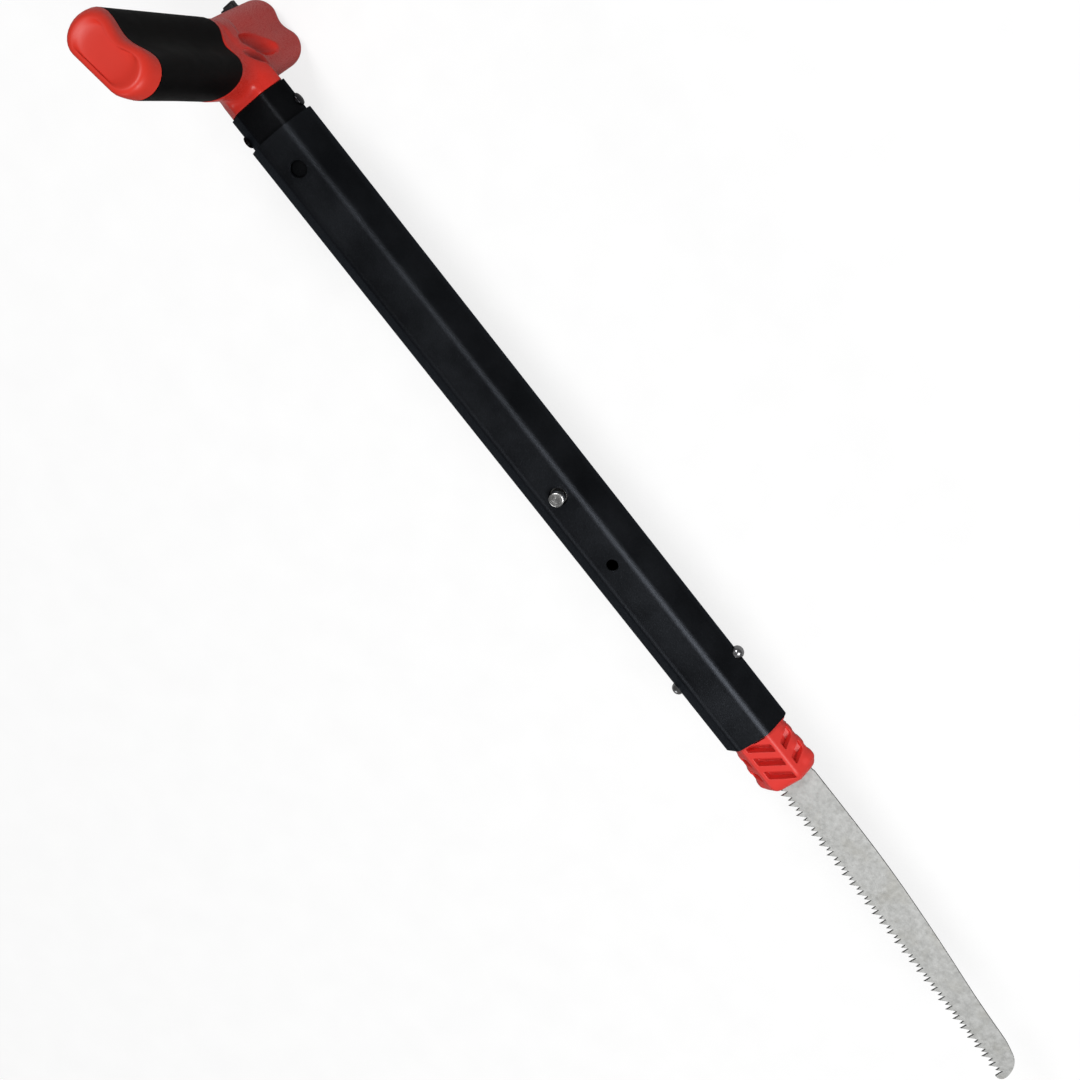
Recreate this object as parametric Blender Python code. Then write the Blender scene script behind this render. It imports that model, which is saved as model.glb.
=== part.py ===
"""Telescoping pole saw: an oval two-part shaft with a grip at one end and a push-in saw at the other.

Metres, +Z up. The shaft runs along X, from the grip at -X to the saw's tip at +X. The origin is on the
middle of the outer tube's flat back face, and the broad flat with the locking button faces +Z.
"""

import math

import bmesh
import bpy
from mathutils import Matrix, Vector

# Driving dimensions
GAP = 0.0003                     # running and seating gap between pieces
TUBE_LENGTH = 0.386              # outer tube
TUBE_HALF_WIDTH = 0.019
TUBE_HALF_DEPTH = 0.0135
WALL = 0.0014
TUBE_CLEARANCE = 0.0005          # between the two tubes, all round
BLADE_THICKNESS = 0.0013

# Places along the shaft
AXIS_Z = TUBE_HALF_DEPTH         # the back flat lies at z = 0
TUBE_TOP = -TUBE_LENGTH / 2
TUBE_MOUTH = TUBE_LENGTH / 2
LOCK_X = 0.029
TRAVEL = 0.202                   # telescoping travel, from the lower lock hole to the upper one
UPPER_HOLE_X = LOCK_X - TRAVEL
SPARE_HOLE_X = 0.0735
SIDE_BUTTON_X = 0.151
NECK_X = TUBE_TOP - 0.0175       # where the grip's neck meets the inner tube
RIVET_X = TUBE_TOP - 0.0056
INNER_END_X = 0.063
COLLAR_LENGTH = 0.0330
COLLAR_END_X = TUBE_MOUTH + GAP + COLLAR_LENGTH

# The shaft's cross-section: a flat front and back, slanted flanks and round sides
FLAT_HALF = 0.00643              # centre of each ridge's arc, from the middle
SIDE_RADIUS = 0.0060
RIDGE_RADIUS = 0.0060
ARC_STEP = 15                    # degrees


def clear_scene():
    for item in list(bpy.data.objects):
        bpy.data.objects.remove(item, do_unlink=True)


def finish_of(name, color, metallic, roughness):
    material = bpy.data.materials.new(name)
    material.use_nodes = True
    shader = material.node_tree.nodes["Principled BSDF"]
    shader.inputs["Base Color"].default_value = (*color, 1.0)
    shader.inputs["Metallic"].default_value = metallic
    shader.inputs["Roughness"].default_value = roughness
    return material


def link(name, mesh, material, smooth_angle=35):
    piece = bpy.data.objects.new(name, mesh)
    bpy.context.collection.objects.link(piece)
    if material is not None:
        mesh.materials.append(material)
    mesh.shade_smooth()
    mesh.set_sharp_from_angle(angle=math.radians(smooth_angle))
    return piece


def mesh_from(bm, name):
    bmesh.ops.recalc_face_normals(bm, faces=bm.faces)
    mesh = bpy.data.meshes.new(name)
    bm.to_mesh(mesh)
    bm.free()
    return mesh


def loft(name, rings, material=None, smooth_angle=35):
    """A closed body through rings of equally many points, each ring a list of vectors."""
    bm = bmesh.new()
    loops = [[bm.verts.new(point) for point in ring] for ring in rings]
    count = len(loops[0])
    for near, far in zip(loops, loops[1:]):
        for index in range(count):
            after = (index + 1) % count
            bm.faces.new((near[index], near[after], far[after], far[index]))
    bm.faces.new(list(reversed(loops[0])))
    bm.faces.new(loops[-1])
    return link(name, mesh_from(bm, name), material, smooth_angle)


def prism(name, outline, low, high, material=None, place=None):
    """An outline in the local XY plane, extruded from low to high along local Z."""
    rings = [[Vector((x, y, z)) for x, y in outline] for z in (low, high)]
    piece = loft(name, rings, material)
    if place is not None:
        piece.data.transform(place)
    return piece


def cylinder(name, radius, start, end, sides=32, material=None):
    """A round bar between two points, with its own mesh in world places."""
    profile = [(0.0, radius), ((end - start).length, radius)]
    return turned(name, profile, start, end - start, sides, material)


def turned(name, profile, base, direction, sides=32, material=None):
    """A turned body: profile is (distance along the axis, radius), with flat ends."""
    along = direction.normalized()
    aside = along.orthogonal().normalized()
    across = along.cross(aside)
    rings = []
    for distance, radius in profile:
        ring = []
        for index in range(sides):
            angle = 2 * math.pi * index / sides
            outwards = aside * math.cos(angle) + across * math.sin(angle)
            ring.append(base + along * distance + outwards * radius)
        rings.append(ring)
    return loft(name, rings, material)


def boolean(piece, tool, operation="DIFFERENCE"):
    """Cuts or joins tool into piece, then drops the tool."""
    modifier = piece.modifiers.new(operation.lower(), "BOOLEAN")
    modifier.operation = operation
    modifier.solver = "EXACT"
    modifier.object = tool
    bpy.context.view_layer.update()
    evaluated = piece.evaluated_get(bpy.context.evaluated_depsgraph_get())
    result = bpy.data.meshes.new_from_object(evaluated)
    piece.modifiers.clear()
    materials = list(piece.data.materials)
    piece.data = result
    piece.data.materials.clear()
    for material in materials:
        piece.data.materials.append(material)
    bpy.data.objects.remove(tool, do_unlink=True)
    return piece


def arc(centre_y, centre_z, radius, start, stop, step=ARC_STEP):
    """Points of an arc in the YZ plane, angles in degrees from +Y towards +Z."""
    count = max(1, round((stop - start) / step))
    points = []
    for index in range(count + 1):
        angle = math.radians(start + (stop - start) * index / count)
        points.append((centre_y + radius * math.cos(angle), centre_z + radius * math.sin(angle)))
    return points


def shaft_outline(inset=0.0):
    """The shaft's section, (y, z) about its axis, moved inwards by inset."""
    side_centre = TUBE_HALF_WIDTH - SIDE_RADIUS
    ridge_centre = TUBE_HALF_DEPTH - RIDGE_RADIUS
    side = max(SIDE_RADIUS - inset, 0.0004)
    ridge = max(RIDGE_RADIUS - inset, 0.0004)
    side_y = TUBE_HALF_WIDTH - inset - side
    ridge_z = TUBE_HALF_DEPTH - inset - ridge
    # The flank touches the side's arc and the ridge's arc at the same angle.
    run = Vector((side_centre - FLAT_HALF, -ridge_centre))
    flank = math.degrees(math.atan2(-run.y, run.x) - math.asin((SIDE_RADIUS - RIDGE_RADIUS) / run.length))
    turn = 90 - flank
    quarter = arc(side_y, 0.0, side, 0, turn) + arc(FLAT_HALF, ridge_z, ridge, turn, 90)
    outline = list(quarter)
    outline += [(-y, z) for y, z in reversed(quarter)]
    outline += [(-y, -z) for y, z in quarter[1:]]
    outline += [(y, -z) for y, z in reversed(quarter[1:])]
    return outline


def ring_at(x, outline):
    return [Vector((x, y, AXIS_Z + z)) for y, z in outline]


def shaft_tube(name, start, end, outer_inset, wall, material):
    """An open tube with the shaft's section."""
    outside = shaft_outline(outer_inset)
    inside = shaft_outline(outer_inset + wall)
    rings = [ring_at(start, outside), ring_at(end, outside), ring_at(end, inside), ring_at(start, inside)]
    bm = bmesh.new()
    loops = [[bm.verts.new(point) for point in ring] for ring in rings]
    count = len(outside)
    for step in range(4):
        near, far = loops[step], loops[(step + 1) % 4]
        for index in range(count):
            after = (index + 1) % count
            bm.faces.new((near[index], near[after], far[after], far[index]))
    return link(name, mesh_from(bm, name), material)


def drill(piece, radius, start, end, sides=32):
    boolean(piece, cylinder("drill", radius, start, end, sides))


# Lock and side buttons
LOCK_RADIUS = 0.0039
LOCK_HOLE_RADIUS = 0.0047
UPPER_HOLE_RADIUS = 0.0042
SPARE_HOLE_RADIUS = 0.0030
LOCK_PROUD = 0.0048
SIDE_BUTTON_RADIUS = 0.0035
SIDE_HOLE_RADIUS = 0.0039
SIDE_BUTTON_PROUD = 0.0034
INNER_INSET = WALL + TUBE_CLEARANCE
INNER_WALL = 0.0013


def make_outer_tube(black):
    tube = shaft_tube("outer_tube", TUBE_TOP, TUBE_MOUTH, 0.0, WALL, black)
    front = 2 * TUBE_HALF_DEPTH
    holes = (
        (UPPER_HOLE_X, UPPER_HOLE_RADIUS),
        (LOCK_X, LOCK_HOLE_RADIUS),
        (SPARE_HOLE_X, SPARE_HOLE_RADIUS),
    )
    for x, radius in holes:
        drill(tube, radius, Vector((x, 0, front - 3 * WALL)), Vector((x, 0, front + WALL)))
    for side in (-1, 1):
        start = Vector((SIDE_BUTTON_X, side * (TUBE_HALF_WIDTH - 3 * WALL), AXIS_Z))
        end = Vector((SIDE_BUTTON_X, side * (TUBE_HALF_WIDTH + WALL), AXIS_Z))
        drill(tube, SIDE_HOLE_RADIUS, start, end)


RIVET_RADIUS = 0.0024
RIVET_HEAD_RADIUS = 0.0033
RIVET_HEAD_HEIGHT = 0.0011
RIVET_LENGTH = 0.0075


def make_inner_tube(black):
    tube = shaft_tube("inner_tube", NECK_X, INNER_END_X, INNER_INSET, INNER_WALL, black)
    front = 2 * TUBE_HALF_DEPTH - INNER_INSET
    hole_start = Vector((LOCK_X, 0, front - 3 * INNER_WALL))
    drill(tube, LOCK_RADIUS + GAP, hole_start, Vector((LOCK_X, 0, front + WALL)))
    for side in (-1, 1):
        start = Vector((RIVET_X, side * (TUBE_HALF_WIDTH - 0.006), AXIS_Z))
        end = Vector((RIVET_X, side * (TUBE_HALF_WIDTH + WALL), AXIS_Z))
        drill(tube, RIVET_RADIUS + GAP, start, end, 24)


# Inner tube's lower bush, which also holds the lock spring
BUSH_FLANGE = 0.0025
BUSH_DEPTH = 0.012
BUSH_WALL = 0.0016


def make_inner_bush(plastic):
    flange_outline = shaft_outline(WALL + GAP)
    sleeve_outline = shaft_outline(INNER_INSET + INNER_WALL + GAP)
    bore_outline = shaft_outline(INNER_INSET + INNER_WALL + GAP + BUSH_WALL)
    face = INNER_END_X + GAP
    rings = [
        ring_at(face - BUSH_DEPTH, sleeve_outline),
        ring_at(face, sleeve_outline),
        ring_at(face, flange_outline),
        ring_at(face + BUSH_FLANGE, flange_outline),
        ring_at(face + BUSH_FLANGE, bore_outline),
        ring_at(face - BUSH_DEPTH, bore_outline),
    ]
    bm = bmesh.new()
    loops = [[bm.verts.new(point) for point in ring] for ring in rings]
    count = len(flange_outline)
    for step in range(len(loops)):
        near, far = loops[step], loops[(step + 1) % len(loops)]
        for index in range(count):
            after = (index + 1) % count
            bm.faces.new((near[index], near[after], far[after], far[index]))
    link("inner_tube_bush", mesh_from(bm, "inner_tube_bush"), plastic)


SPRING_THICKNESS = 0.0007
SPRING_HALF_WIDTH = 0.0035
BEND_STEPS = 12                  # straight pieces in a spring's round bend


def bent_strip(name, centre_line, half_width, to_world, material):
    """A flat spring: a line of (along, across) points, thickened and given a width."""
    left = []
    right = []
    count = len(centre_line)
    for index, point in enumerate(centre_line):
        before = Vector(centre_line[max(index - 1, 0)])
        after = Vector(centre_line[min(index + 1, count - 1)])
        heading = (after - before).normalized()
        normal = Vector((-heading.y, heading.x)) * SPRING_THICKNESS / 2
        left.append(Vector(point) + normal)
        right.append(Vector(point) - normal)
    outline = [(p.x, p.y) for p in left + list(reversed(right))]
    bm = bmesh.new()
    sides = []
    for offset in (-half_width, half_width):
        sides.append([bm.verts.new(to_world(u, v, offset)) for u, v in outline])
    total = len(outline)
    for index in range(count - 1):
        mirror = total - 1 - index
        for ring in sides:
            bm.faces.new((ring[index], ring[index + 1], ring[mirror - 1], ring[mirror]))
    for index in range(total):
        after = (index + 1) % total
        bm.faces.new((sides[0][index], sides[0][after], sides[1][after], sides[1][index]))
    return link(name, mesh_from(bm, name), material)


def u_line(bend_x, tip_x, half_gap):
    """The centre line of a U-shaped spring: a leg, a round bend and the other leg."""
    line = [(tip_x, half_gap)]
    for index in range(BEND_STEPS + 1):
        angle = math.radians(90 + 180 * index / BEND_STEPS)
        line.append((bend_x + half_gap * math.cos(angle), half_gap * math.sin(angle)))
    line.append((tip_x, -half_gap))
    return line


LOCK_BASE_Z = 0.0186             # underside of the lock button's flange
LOCK_FLANGE_RADIUS = 0.0052
LOCK_EDGE = 0.0007               # bevel round the lock button's end
LOCK_DIMPLE = 0.0003             # depth of the shallow recess in its end
LOCK_SPRING_BEND = 0.034         # from the button's axis to the centre of the spring's bend
LOCK_SPRING_TIP = 0.007          # how far its legs run past the button's axis


def make_lock(steel, spring_steel):
    top = 2 * TUBE_HALF_DEPTH + LOCK_PROUD
    flange_top = 2 * TUBE_HALF_DEPTH - INNER_INSET - INNER_WALL - GAP
    base = Vector((LOCK_X, 0, LOCK_BASE_Z))
    profile = [
        (0.0, LOCK_FLANGE_RADIUS),
        (flange_top - LOCK_BASE_Z, LOCK_FLANGE_RADIUS),
        (flange_top - LOCK_BASE_Z, LOCK_RADIUS),
        (top - LOCK_EDGE - LOCK_BASE_Z, LOCK_RADIUS),
        (top - LOCK_BASE_Z, LOCK_RADIUS - LOCK_EDGE),
        (top - LOCK_BASE_Z, 0.0022),
        (top - LOCK_DIMPLE - LOCK_BASE_Z, 0.0019),
        (top - LOCK_DIMPLE - LOCK_BASE_Z, 0.0008),
    ]
    turned("lock_button", profile, base, Vector((0, 0, 1)), 32, steel)
    leg_z = LOCK_BASE_Z - GAP - SPRING_THICKNESS / 2 - AXIS_Z
    low_leg = TUBE_HALF_DEPTH - INNER_INSET - INNER_WALL - GAP - SPRING_THICKNESS / 2
    bend = (leg_z + low_leg) / 2
    middle = (leg_z - low_leg) / 2
    line = u_line(LOCK_X - LOCK_SPRING_BEND, LOCK_X + LOCK_SPRING_TIP, bend)

    def to_world(u, v, w):
        return Vector((u, w, AXIS_Z + middle + v))

    bent_strip("lock_spring", line, SPRING_HALF_WIDTH, to_world, spring_steel)


SIDE_LEG_Y = 0.0135              # centre of each leg of the side spring
SIDE_DOME = 0.0032               # height of a side button's round end
DOME_STEPS = 7
SIDE_SPRING_BEND = 0.046         # from the buttons' axis to the centre of the spring's bend
SIDE_SPRING_TIP = 0.006


def make_side_buttons(steel, spring_steel):
    inner_face = SIDE_LEG_Y + SPRING_THICKNESS / 2 + GAP
    tip = TUBE_HALF_WIDTH + SIDE_BUTTON_PROUD
    length = tip - inner_face
    profile = [(0.0, SIDE_BUTTON_RADIUS)]
    for index in range(DOME_STEPS):
        angle = math.radians(90 * index / DOME_STEPS)
        height = length - SIDE_DOME * (1 - math.sin(angle))
        profile.append((height, SIDE_BUTTON_RADIUS * math.cos(angle)))
    profile.append((length, 0.0005))
    for side, name in ((1, "side_button_right"), (-1, "side_button_left")):
        base = Vector((SIDE_BUTTON_X, side * inner_face, AXIS_Z))
        turned(name, profile, base, Vector((0, side, 0)), 28, steel)
    line = u_line(SIDE_BUTTON_X - SIDE_SPRING_BEND, SIDE_BUTTON_X + SIDE_SPRING_TIP, SIDE_LEG_Y)

    def to_world(u, v, w):
        return Vector((u, v, AXIS_Z + w))

    bent_strip("side_spring", line, SPRING_HALF_WIDTH, to_world, spring_steel)


# Saw: a moulded plug with its collar, the blade and two pins
PLUG_INSET = WALL + GAP
PLUG_END_X = TUBE_MOUTH - 0.034  # full section ends here
TONGUE_END_X = TUBE_MOUTH - 0.050
TONGUE_HALF_WIDTH = 0.0075
TANG_END_X = TUBE_MOUTH - 0.028
PIN_RADIUS = 0.0020
PIN_PLACES = (TUBE_MOUTH - 0.009, TUBE_MOUTH - 0.020)
COLLAR_INSET = 0.0017            # from the tube's outline
COLLAR_ROUNDING = 0.007
COLLAR_TAPER = 0.62              # how far the rounded end draws in, as a share of its length
TONGUE_LOW = WALL + GAP + 0.0012
SLOT_LOW = -0.0118               # the slot for the blade, across the shaft
SLOT_HIGH = 0.0122
RIM = 0.0008                     # solid band at the collar's tube end
POCKET_WIDTH = 0.0050            # along the shaft
FRONT_START = 0.0022             # of the first pocket, from the tube's mouth
FRONT_PITCH = 0.0092
FRONT_DEPTH = 0.0050
FRONT_LOW = -0.0062
FRONT_HIGH = 0.0064
FRONT_SLOPE = 0.56               # how far along the shaft for each metre across it
FLANK_TURN = math.radians(48.8)  # from +Z to the flank's normal
FLANK_REACH = 0.01408            # the flank's distance from the axis
FLANK_START = 0.0085
FLANK_PITCH = 0.0099
FLANK_DEPTH = 0.0038
FLANK_LOW = 0.0
FLANK_HIGH = 0.0072
FLANK_SLOPE = -0.40


def collar_ring(x, shrink):
    return ring_at(x, shaft_outline(COLLAR_INSET + shrink))


def slanted(start, low, high, slope):
    """A parallelogram pocket: start is its edge nearest the grip, at y = 0."""
    edge = TUBE_MOUTH + GAP + RIM
    corners = ((start + slope * low, low), (start + POCKET_WIDTH + slope * low, low),
               (start + POCKET_WIDTH + slope * high, high), (start + slope * high, high))
    return [(max(x, edge), y) for x, y in corners]


def make_saw_plug(red):
    start = TUBE_MOUTH + GAP
    end = COLLAR_END_X
    rings = [ring_at(PLUG_END_X, shaft_outline(PLUG_INSET)), ring_at(start, shaft_outline(PLUG_INSET))]
    rings.append(collar_ring(start, 0.0))
    for index in range(6):
        angle = math.radians(90 * index / 6)
        x = end - COLLAR_ROUNDING + COLLAR_ROUNDING * math.sin(angle)
        rings.append(collar_ring(x, COLLAR_ROUNDING * COLLAR_TAPER * (1 - math.cos(angle))))
    plug = loft("saw_plug", rings, red, 50)
    tongue_start = PLUG_END_X + 0.004
    tongue_outline = [(TONGUE_END_X, -TONGUE_HALF_WIDTH), (tongue_start, -TONGUE_HALF_WIDTH),
                      (tongue_start, TONGUE_HALF_WIDTH), (TONGUE_END_X, TONGUE_HALF_WIDTH)]
    boolean(plug, prism("tongue", tongue_outline, TONGUE_LOW, 2 * AXIS_Z - TONGUE_LOW), "UNION")
    slot_half = BLADE_THICKNESS / 2 + GAP
    slot_start = TANG_END_X - GAP
    slot_end = end + 0.01
    slot_outline = [(slot_start, SLOT_LOW), (slot_end, SLOT_LOW)]
    slot_outline += [(slot_end, SLOT_HIGH), (slot_start, SLOT_HIGH)]
    boolean(plug, prism("slot", slot_outline, AXIS_Z - slot_half, AXIS_Z + slot_half))
    for x in PIN_PLACES:
        drill(plug, PIN_RADIUS + GAP, Vector((x, 0, -0.01)), Vector((x, 0, 2 * AXIS_Z + 0.01)), 20)
    for face in (0, 180):
        cut_pockets(plug, Matrix.Rotation(math.radians(face), 4, "X"))
    return plug


def cut_pockets(plug, turn):
    """Slanted pockets in one broad flat of the collar and in the flanks beside it."""
    place = Matrix.Translation((0, 0, AXIS_Z)) @ turn
    surface = TUBE_HALF_DEPTH - COLLAR_INSET
    for index in range(3):
        start = TUBE_MOUTH + FRONT_START + index * FRONT_PITCH
        outline = slanted(start, FRONT_LOW, FRONT_HIGH, FRONT_SLOPE)
        slot = prism("pocket", outline, surface - FRONT_DEPTH, surface + 0.002)
        slot.data.transform(place)
        boolean(plug, slot)
    for side in (-1, 1):
        for index in range(2):
            start = TUBE_MOUTH + FLANK_START + index * FLANK_PITCH
            outline = slanted(start, FLANK_LOW, FLANK_HIGH, FLANK_SLOPE)
            outline = [(x, side * y) for x, y in outline][::side]
            slot = prism("pocket", outline, FLANK_REACH - FLANK_DEPTH, FLANK_REACH + 0.004)
            slot.data.transform(place @ Matrix.Rotation(-FLANK_TURN * side, 4, "X"))
            boolean(plug, slot)


TANG_HALF = 0.0112
TOOTH_PITCH = 0.00705            # of the pairs of teeth
TOOTH_GROUPS = 29
TOOTH_START_X = 0.2279
TOOTH_LINE_Y = -0.01172          # points of the long teeth where they start
TOOTH_LINE_SLOPE = -0.0145
TOOTH_PAIR = (                   # along from the gullet, and in from the line of the long teeth's points
    (0.0, 0.0044),
    (0.0005, 0.0016),
    (0.0029, 0.0044),
    (0.0032, 0.0),
)
BLADE_BACK = (                   # from the teeth's end round the nose and back to the collar
    (0.4360, -0.01515), (0.4378, -0.0148), (0.4392, -0.0137), (0.4398, -0.0122), (0.4396, -0.0102),
    (0.4386, -0.0074), (0.4366, -0.0042), (0.4339, -0.0015), (0.4305, 0.0003), (0.4240, 0.0018),
    (0.4180, 0.0027), (0.4020, 0.0036), (0.3850, 0.0048), (0.3610, 0.0070), (0.3400, 0.0088),
    (0.3200, 0.0102), (0.3040, 0.0111), (0.2880, 0.0117), (0.2700, 0.0120), (0.2500, 0.0121),
    (0.2285, 0.0121), (0.2270, 0.0117),
)


def tooth_line(x):
    return TOOTH_LINE_Y + TOOTH_LINE_SLOPE * (x - TOOTH_START_X)


def blade_outline():
    """The blade in the XY plane, from the tang along the teeth and back round the nose."""
    outline = [(TANG_END_X, -TANG_HALF), (COLLAR_END_X - 0.003, -TANG_HALF)]
    for group in range(TOOTH_GROUPS):
        start = TOOTH_START_X + group * TOOTH_PITCH
        for along, inwards in TOOTH_PAIR:
            outline.append((start + along, tooth_line(start + along) + inwards))
    last = TOOTH_START_X + TOOTH_GROUPS * TOOTH_PITCH
    for along, inwards in TOOTH_PAIR[:3]:
        outline.append((last + along, tooth_line(last + along) + inwards))
    outline.extend(BLADE_BACK)
    outline.append((COLLAR_END_X - 0.003, TANG_HALF + 0.0004))
    outline.append((TANG_END_X, TANG_HALF + 0.0004))
    return outline


def make_saw_blade(steel):
    half = BLADE_THICKNESS / 2
    blade = prism("saw_blade", blade_outline(), AXIS_Z - half, AXIS_Z + half, steel)
    for x in PIN_PLACES:
        drill(blade, PIN_RADIUS + GAP, Vector((x, 0, 0)), Vector((x, 0, 2 * AXIS_Z)), 20)


def make_blade_pins(steel):
    low = WALL + GAP + 0.0006
    for x, name in zip(PIN_PLACES, ("blade_pin_front", "blade_pin_rear")):
        cylinder(name, PIN_RADIUS, Vector((x, 0, low)), Vector((x, 0, 2 * AXIS_Z - low)), 20, steel)


# Grip: the crossbar's long arm leans back towards the user, its short arm is nearly square to the shaft
BAR_X = TUBE_TOP - 0.041
LONG_LEAN = math.radians(11.6)
SLEEVE_START = 0.0248            # from the shaft's axis, along the long arm
SLEEVE_END = 0.0946
SLEEVE_WALL = 0.0034
CAP_LENGTH = 0.0095
SHORT_REACH = 0.0725
CAP_PEG_RADIUS = 0.0042
CAP_PEG_LENGTH = 0.010
CAPSULE_STEPS = 10
WAIST_STEPS = 6


def capsule(half_spacing, radius, waist=0.0):
    """A round-ended bar section: (u, y) points, u along the shaft. waist hollows its +Y side."""
    points = []
    for side in (1, -1):
        for index in range(CAPSULE_STEPS + 1):
            angle = math.radians(180 * index / CAPSULE_STEPS - 90)
            points.append((side * (half_spacing + radius * math.cos(angle)), side * radius * math.sin(angle)))
        for index in range(1, WAIST_STEPS):
            u = half_spacing * (1 - 2 * index / WAIST_STEPS)
            dip = waist * (0.5 + 0.5 * math.cos(math.pi * u / half_spacing)) if side > 0 else 0.0
            points.append((side * u, side * radius - dip))
    return points


def bar_ring(arm, distance, half_spacing, radius, waist=0.0, twist=0.0, lean=(0.0, 0.0)):
    """A section of an arm of the crossbar at a distance from the shaft's axis.

    twist turns it about the arm, in degrees. lean tips its plane: how far it moves outwards for each metre
    towards the blade, and for each metre towards +Y.
    """
    start, direction = arm
    side = Vector((0, 1, 0))
    along = side.cross(direction)
    if along.x < 0:
        along = -along
    turn = math.radians(twist)
    centre = start + direction * distance
    ring = []
    for u, y in capsule(half_spacing, radius, waist):
        u, y = u * math.cos(turn) - y * math.sin(turn), u * math.sin(turn) + y * math.cos(turn)
        ring.append(centre + along * u + side * y + direction * (u * lean[0] + y * lean[1]))
    return ring


BAR_CENTRE = Vector((BAR_X, 0, AXIS_Z))
LONG_ARM = (BAR_CENTRE, Vector((-math.sin(LONG_LEAN), 0, math.cos(LONG_LEAN))))
SHORT_ARM = (BAR_CENTRE - Vector((0.0006, 0, 0)), Vector((-0.067, 0, -1)).normalized())


SLEEVE_IN_HALF = 0.0096          # the sleeve's section at the shaft end
SLEEVE_IN_RADIUS = 0.0120
SLEEVE_IN_WAIST = 0.0017
SLEEVE_IN_TWIST = 2
SLEEVE_IN_LEAN = (0.15, -0.93)
SLEEVE_OUT_HALF = 0.0158         # its section at the end cap
SLEEVE_OUT_RADIUS = 0.0103
SLEEVE_OUT_WAIST = 0.0025
SLEEVE_OUT_TWIST = 16.5
SLEEVE_OUT_LEAN = (0.24, -0.24)
SHORT_LEAN = (0.08, 0.19)
SHORT_STATIONS = (               # from the short arm's end, half spacing, radius, waist
    (0.0400, 0.0087, 0.0110, 0.0012),
    (0.0055, 0.0086, 0.0105, 0.0017),
    (0.0020, 0.0082, 0.0092, 0.0014),
    (0.0, 0.0075, 0.0066, 0.0010),
)
LEAF_POCKET = ((-0.012, -0.004), (-0.002, -0.007), (0.009, -0.002), (0.001, 0.006), (-0.009, 0.004))
LEAF_DEPTH = 0.006


def inner_end_ring(shift, inset):
    """The sleeve's section at the shaft end, which slopes away from the shaft on the -Y side."""
    half = SLEEVE_IN_HALF - inset / 3
    radius = SLEEVE_IN_RADIUS - inset
    place = SLEEVE_START + shift
    return bar_ring(LONG_ARM, place, half, radius, SLEEVE_IN_WAIST, SLEEVE_IN_TWIST, SLEEVE_IN_LEAN)


def outer_end_ring(shift, inset):
    """The sleeve's section at the end cap: wider, thinner and turned about the arm."""
    half = SLEEVE_OUT_HALF - inset / 3
    radius = SLEEVE_OUT_RADIUS - inset
    place = SLEEVE_END + shift
    return bar_ring(LONG_ARM, place, half, radius, SLEEVE_OUT_WAIST, SLEEVE_OUT_TWIST, SLEEVE_OUT_LEAN)


def make_grip_core(red):
    core = loft("grip_core", [
        bar_ring(LONG_ARM, -0.004, 0.0088, 0.0114),
        inner_end_ring(-1.5 * GAP, 0.0),
        inner_end_ring(-1.5 * GAP, SLEEVE_WALL),
        outer_end_ring(0.0, SLEEVE_WALL),
    ], red)
    rings = [bar_ring(SHORT_ARM, -0.004, 0.0088, 0.0112, 0.0, 0.0, SHORT_LEAN)]
    for before_end, half, radius, waist in SHORT_STATIONS:
        rings.append(bar_ring(SHORT_ARM, SHORT_REACH - before_end, half, radius, waist, 0.0, SHORT_LEAN))
    boolean(core, loft("short_arm", rings), "UNION")
    boolean(core, make_neck(), "UNION")
    for side in (-1, 1):
        hollow = prism("hollow", LEAF_POCKET, 0.0, LEAF_DEPTH)
        place = Matrix.Translation((BAR_X + 0.004, side * 0.0080, AXIS_Z - 0.012))
        hollow.data.transform(place @ Matrix.Rotation(math.radians(-90 * side), 4, "X"))
        boolean(core, hollow)
    cut_lug_seat(core)
    socket_start = BAR_CENTRE + LONG_ARM[1] * (SLEEVE_END - CAP_PEG_LENGTH - 0.002)
    drill(core, CAP_PEG_RADIUS + GAP, socket_start, socket_start + LONG_ARM[1] * 0.03, 24)
    for side in (-1, 1):
        start = Vector((RIVET_X, side * (TUBE_HALF_WIDTH - 0.012), AXIS_Z))
        drill(core, RIVET_RADIUS + GAP, start, start + Vector((0, side * 0.02, 0)), 24)


NECK_STATIONS = (                # back from the tube's end, half width, half depth
    (0.0070, 0.0166, 0.0128),
    (0.0130, 0.0150, 0.0162),
    (0.0185, 0.0136, 0.0205),
    (0.0240, 0.0120, 0.0215),
)
SPIGOT_LENGTH = 0.030


def make_neck():
    """The neck from the inner tube's outline to the crossbar, with the spigot inside the tube."""
    spigot_inset = INNER_INSET + INNER_WALL + GAP
    outline = shaft_outline(spigot_inset)
    shoulder = shaft_outline(INNER_INSET)
    rings = [ring_at(NECK_X + SPIGOT_LENGTH, outline), ring_at(NECK_X - GAP, outline)]
    rings.append(ring_at(NECK_X - GAP, shoulder))
    width = max(y for y, z in shoulder)
    depth = max(z for y, z in shoulder)
    for back, half_width, half_depth in NECK_STATIONS:
        scaled = [(y * half_width / width, z * half_depth / depth) for y, z in shoulder]
        rings.append(ring_at(NECK_X - back, scaled))
    return loft("neck", rings)


def make_grip_sleeve(rubber):
    sleeve = loft("grip_sleeve", [inner_end_ring(0.0, 0.0), outer_end_ring(0.0, 0.0)], rubber)
    bore_inset = SLEEVE_WALL - 1.2 * GAP
    bore = [inner_end_ring(-0.002, bore_inset), inner_end_ring(0.0, bore_inset)]
    bore += [outer_end_ring(0.0, bore_inset), outer_end_ring(0.002, bore_inset)]
    boolean(sleeve, loft("bore", bore))


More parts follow.
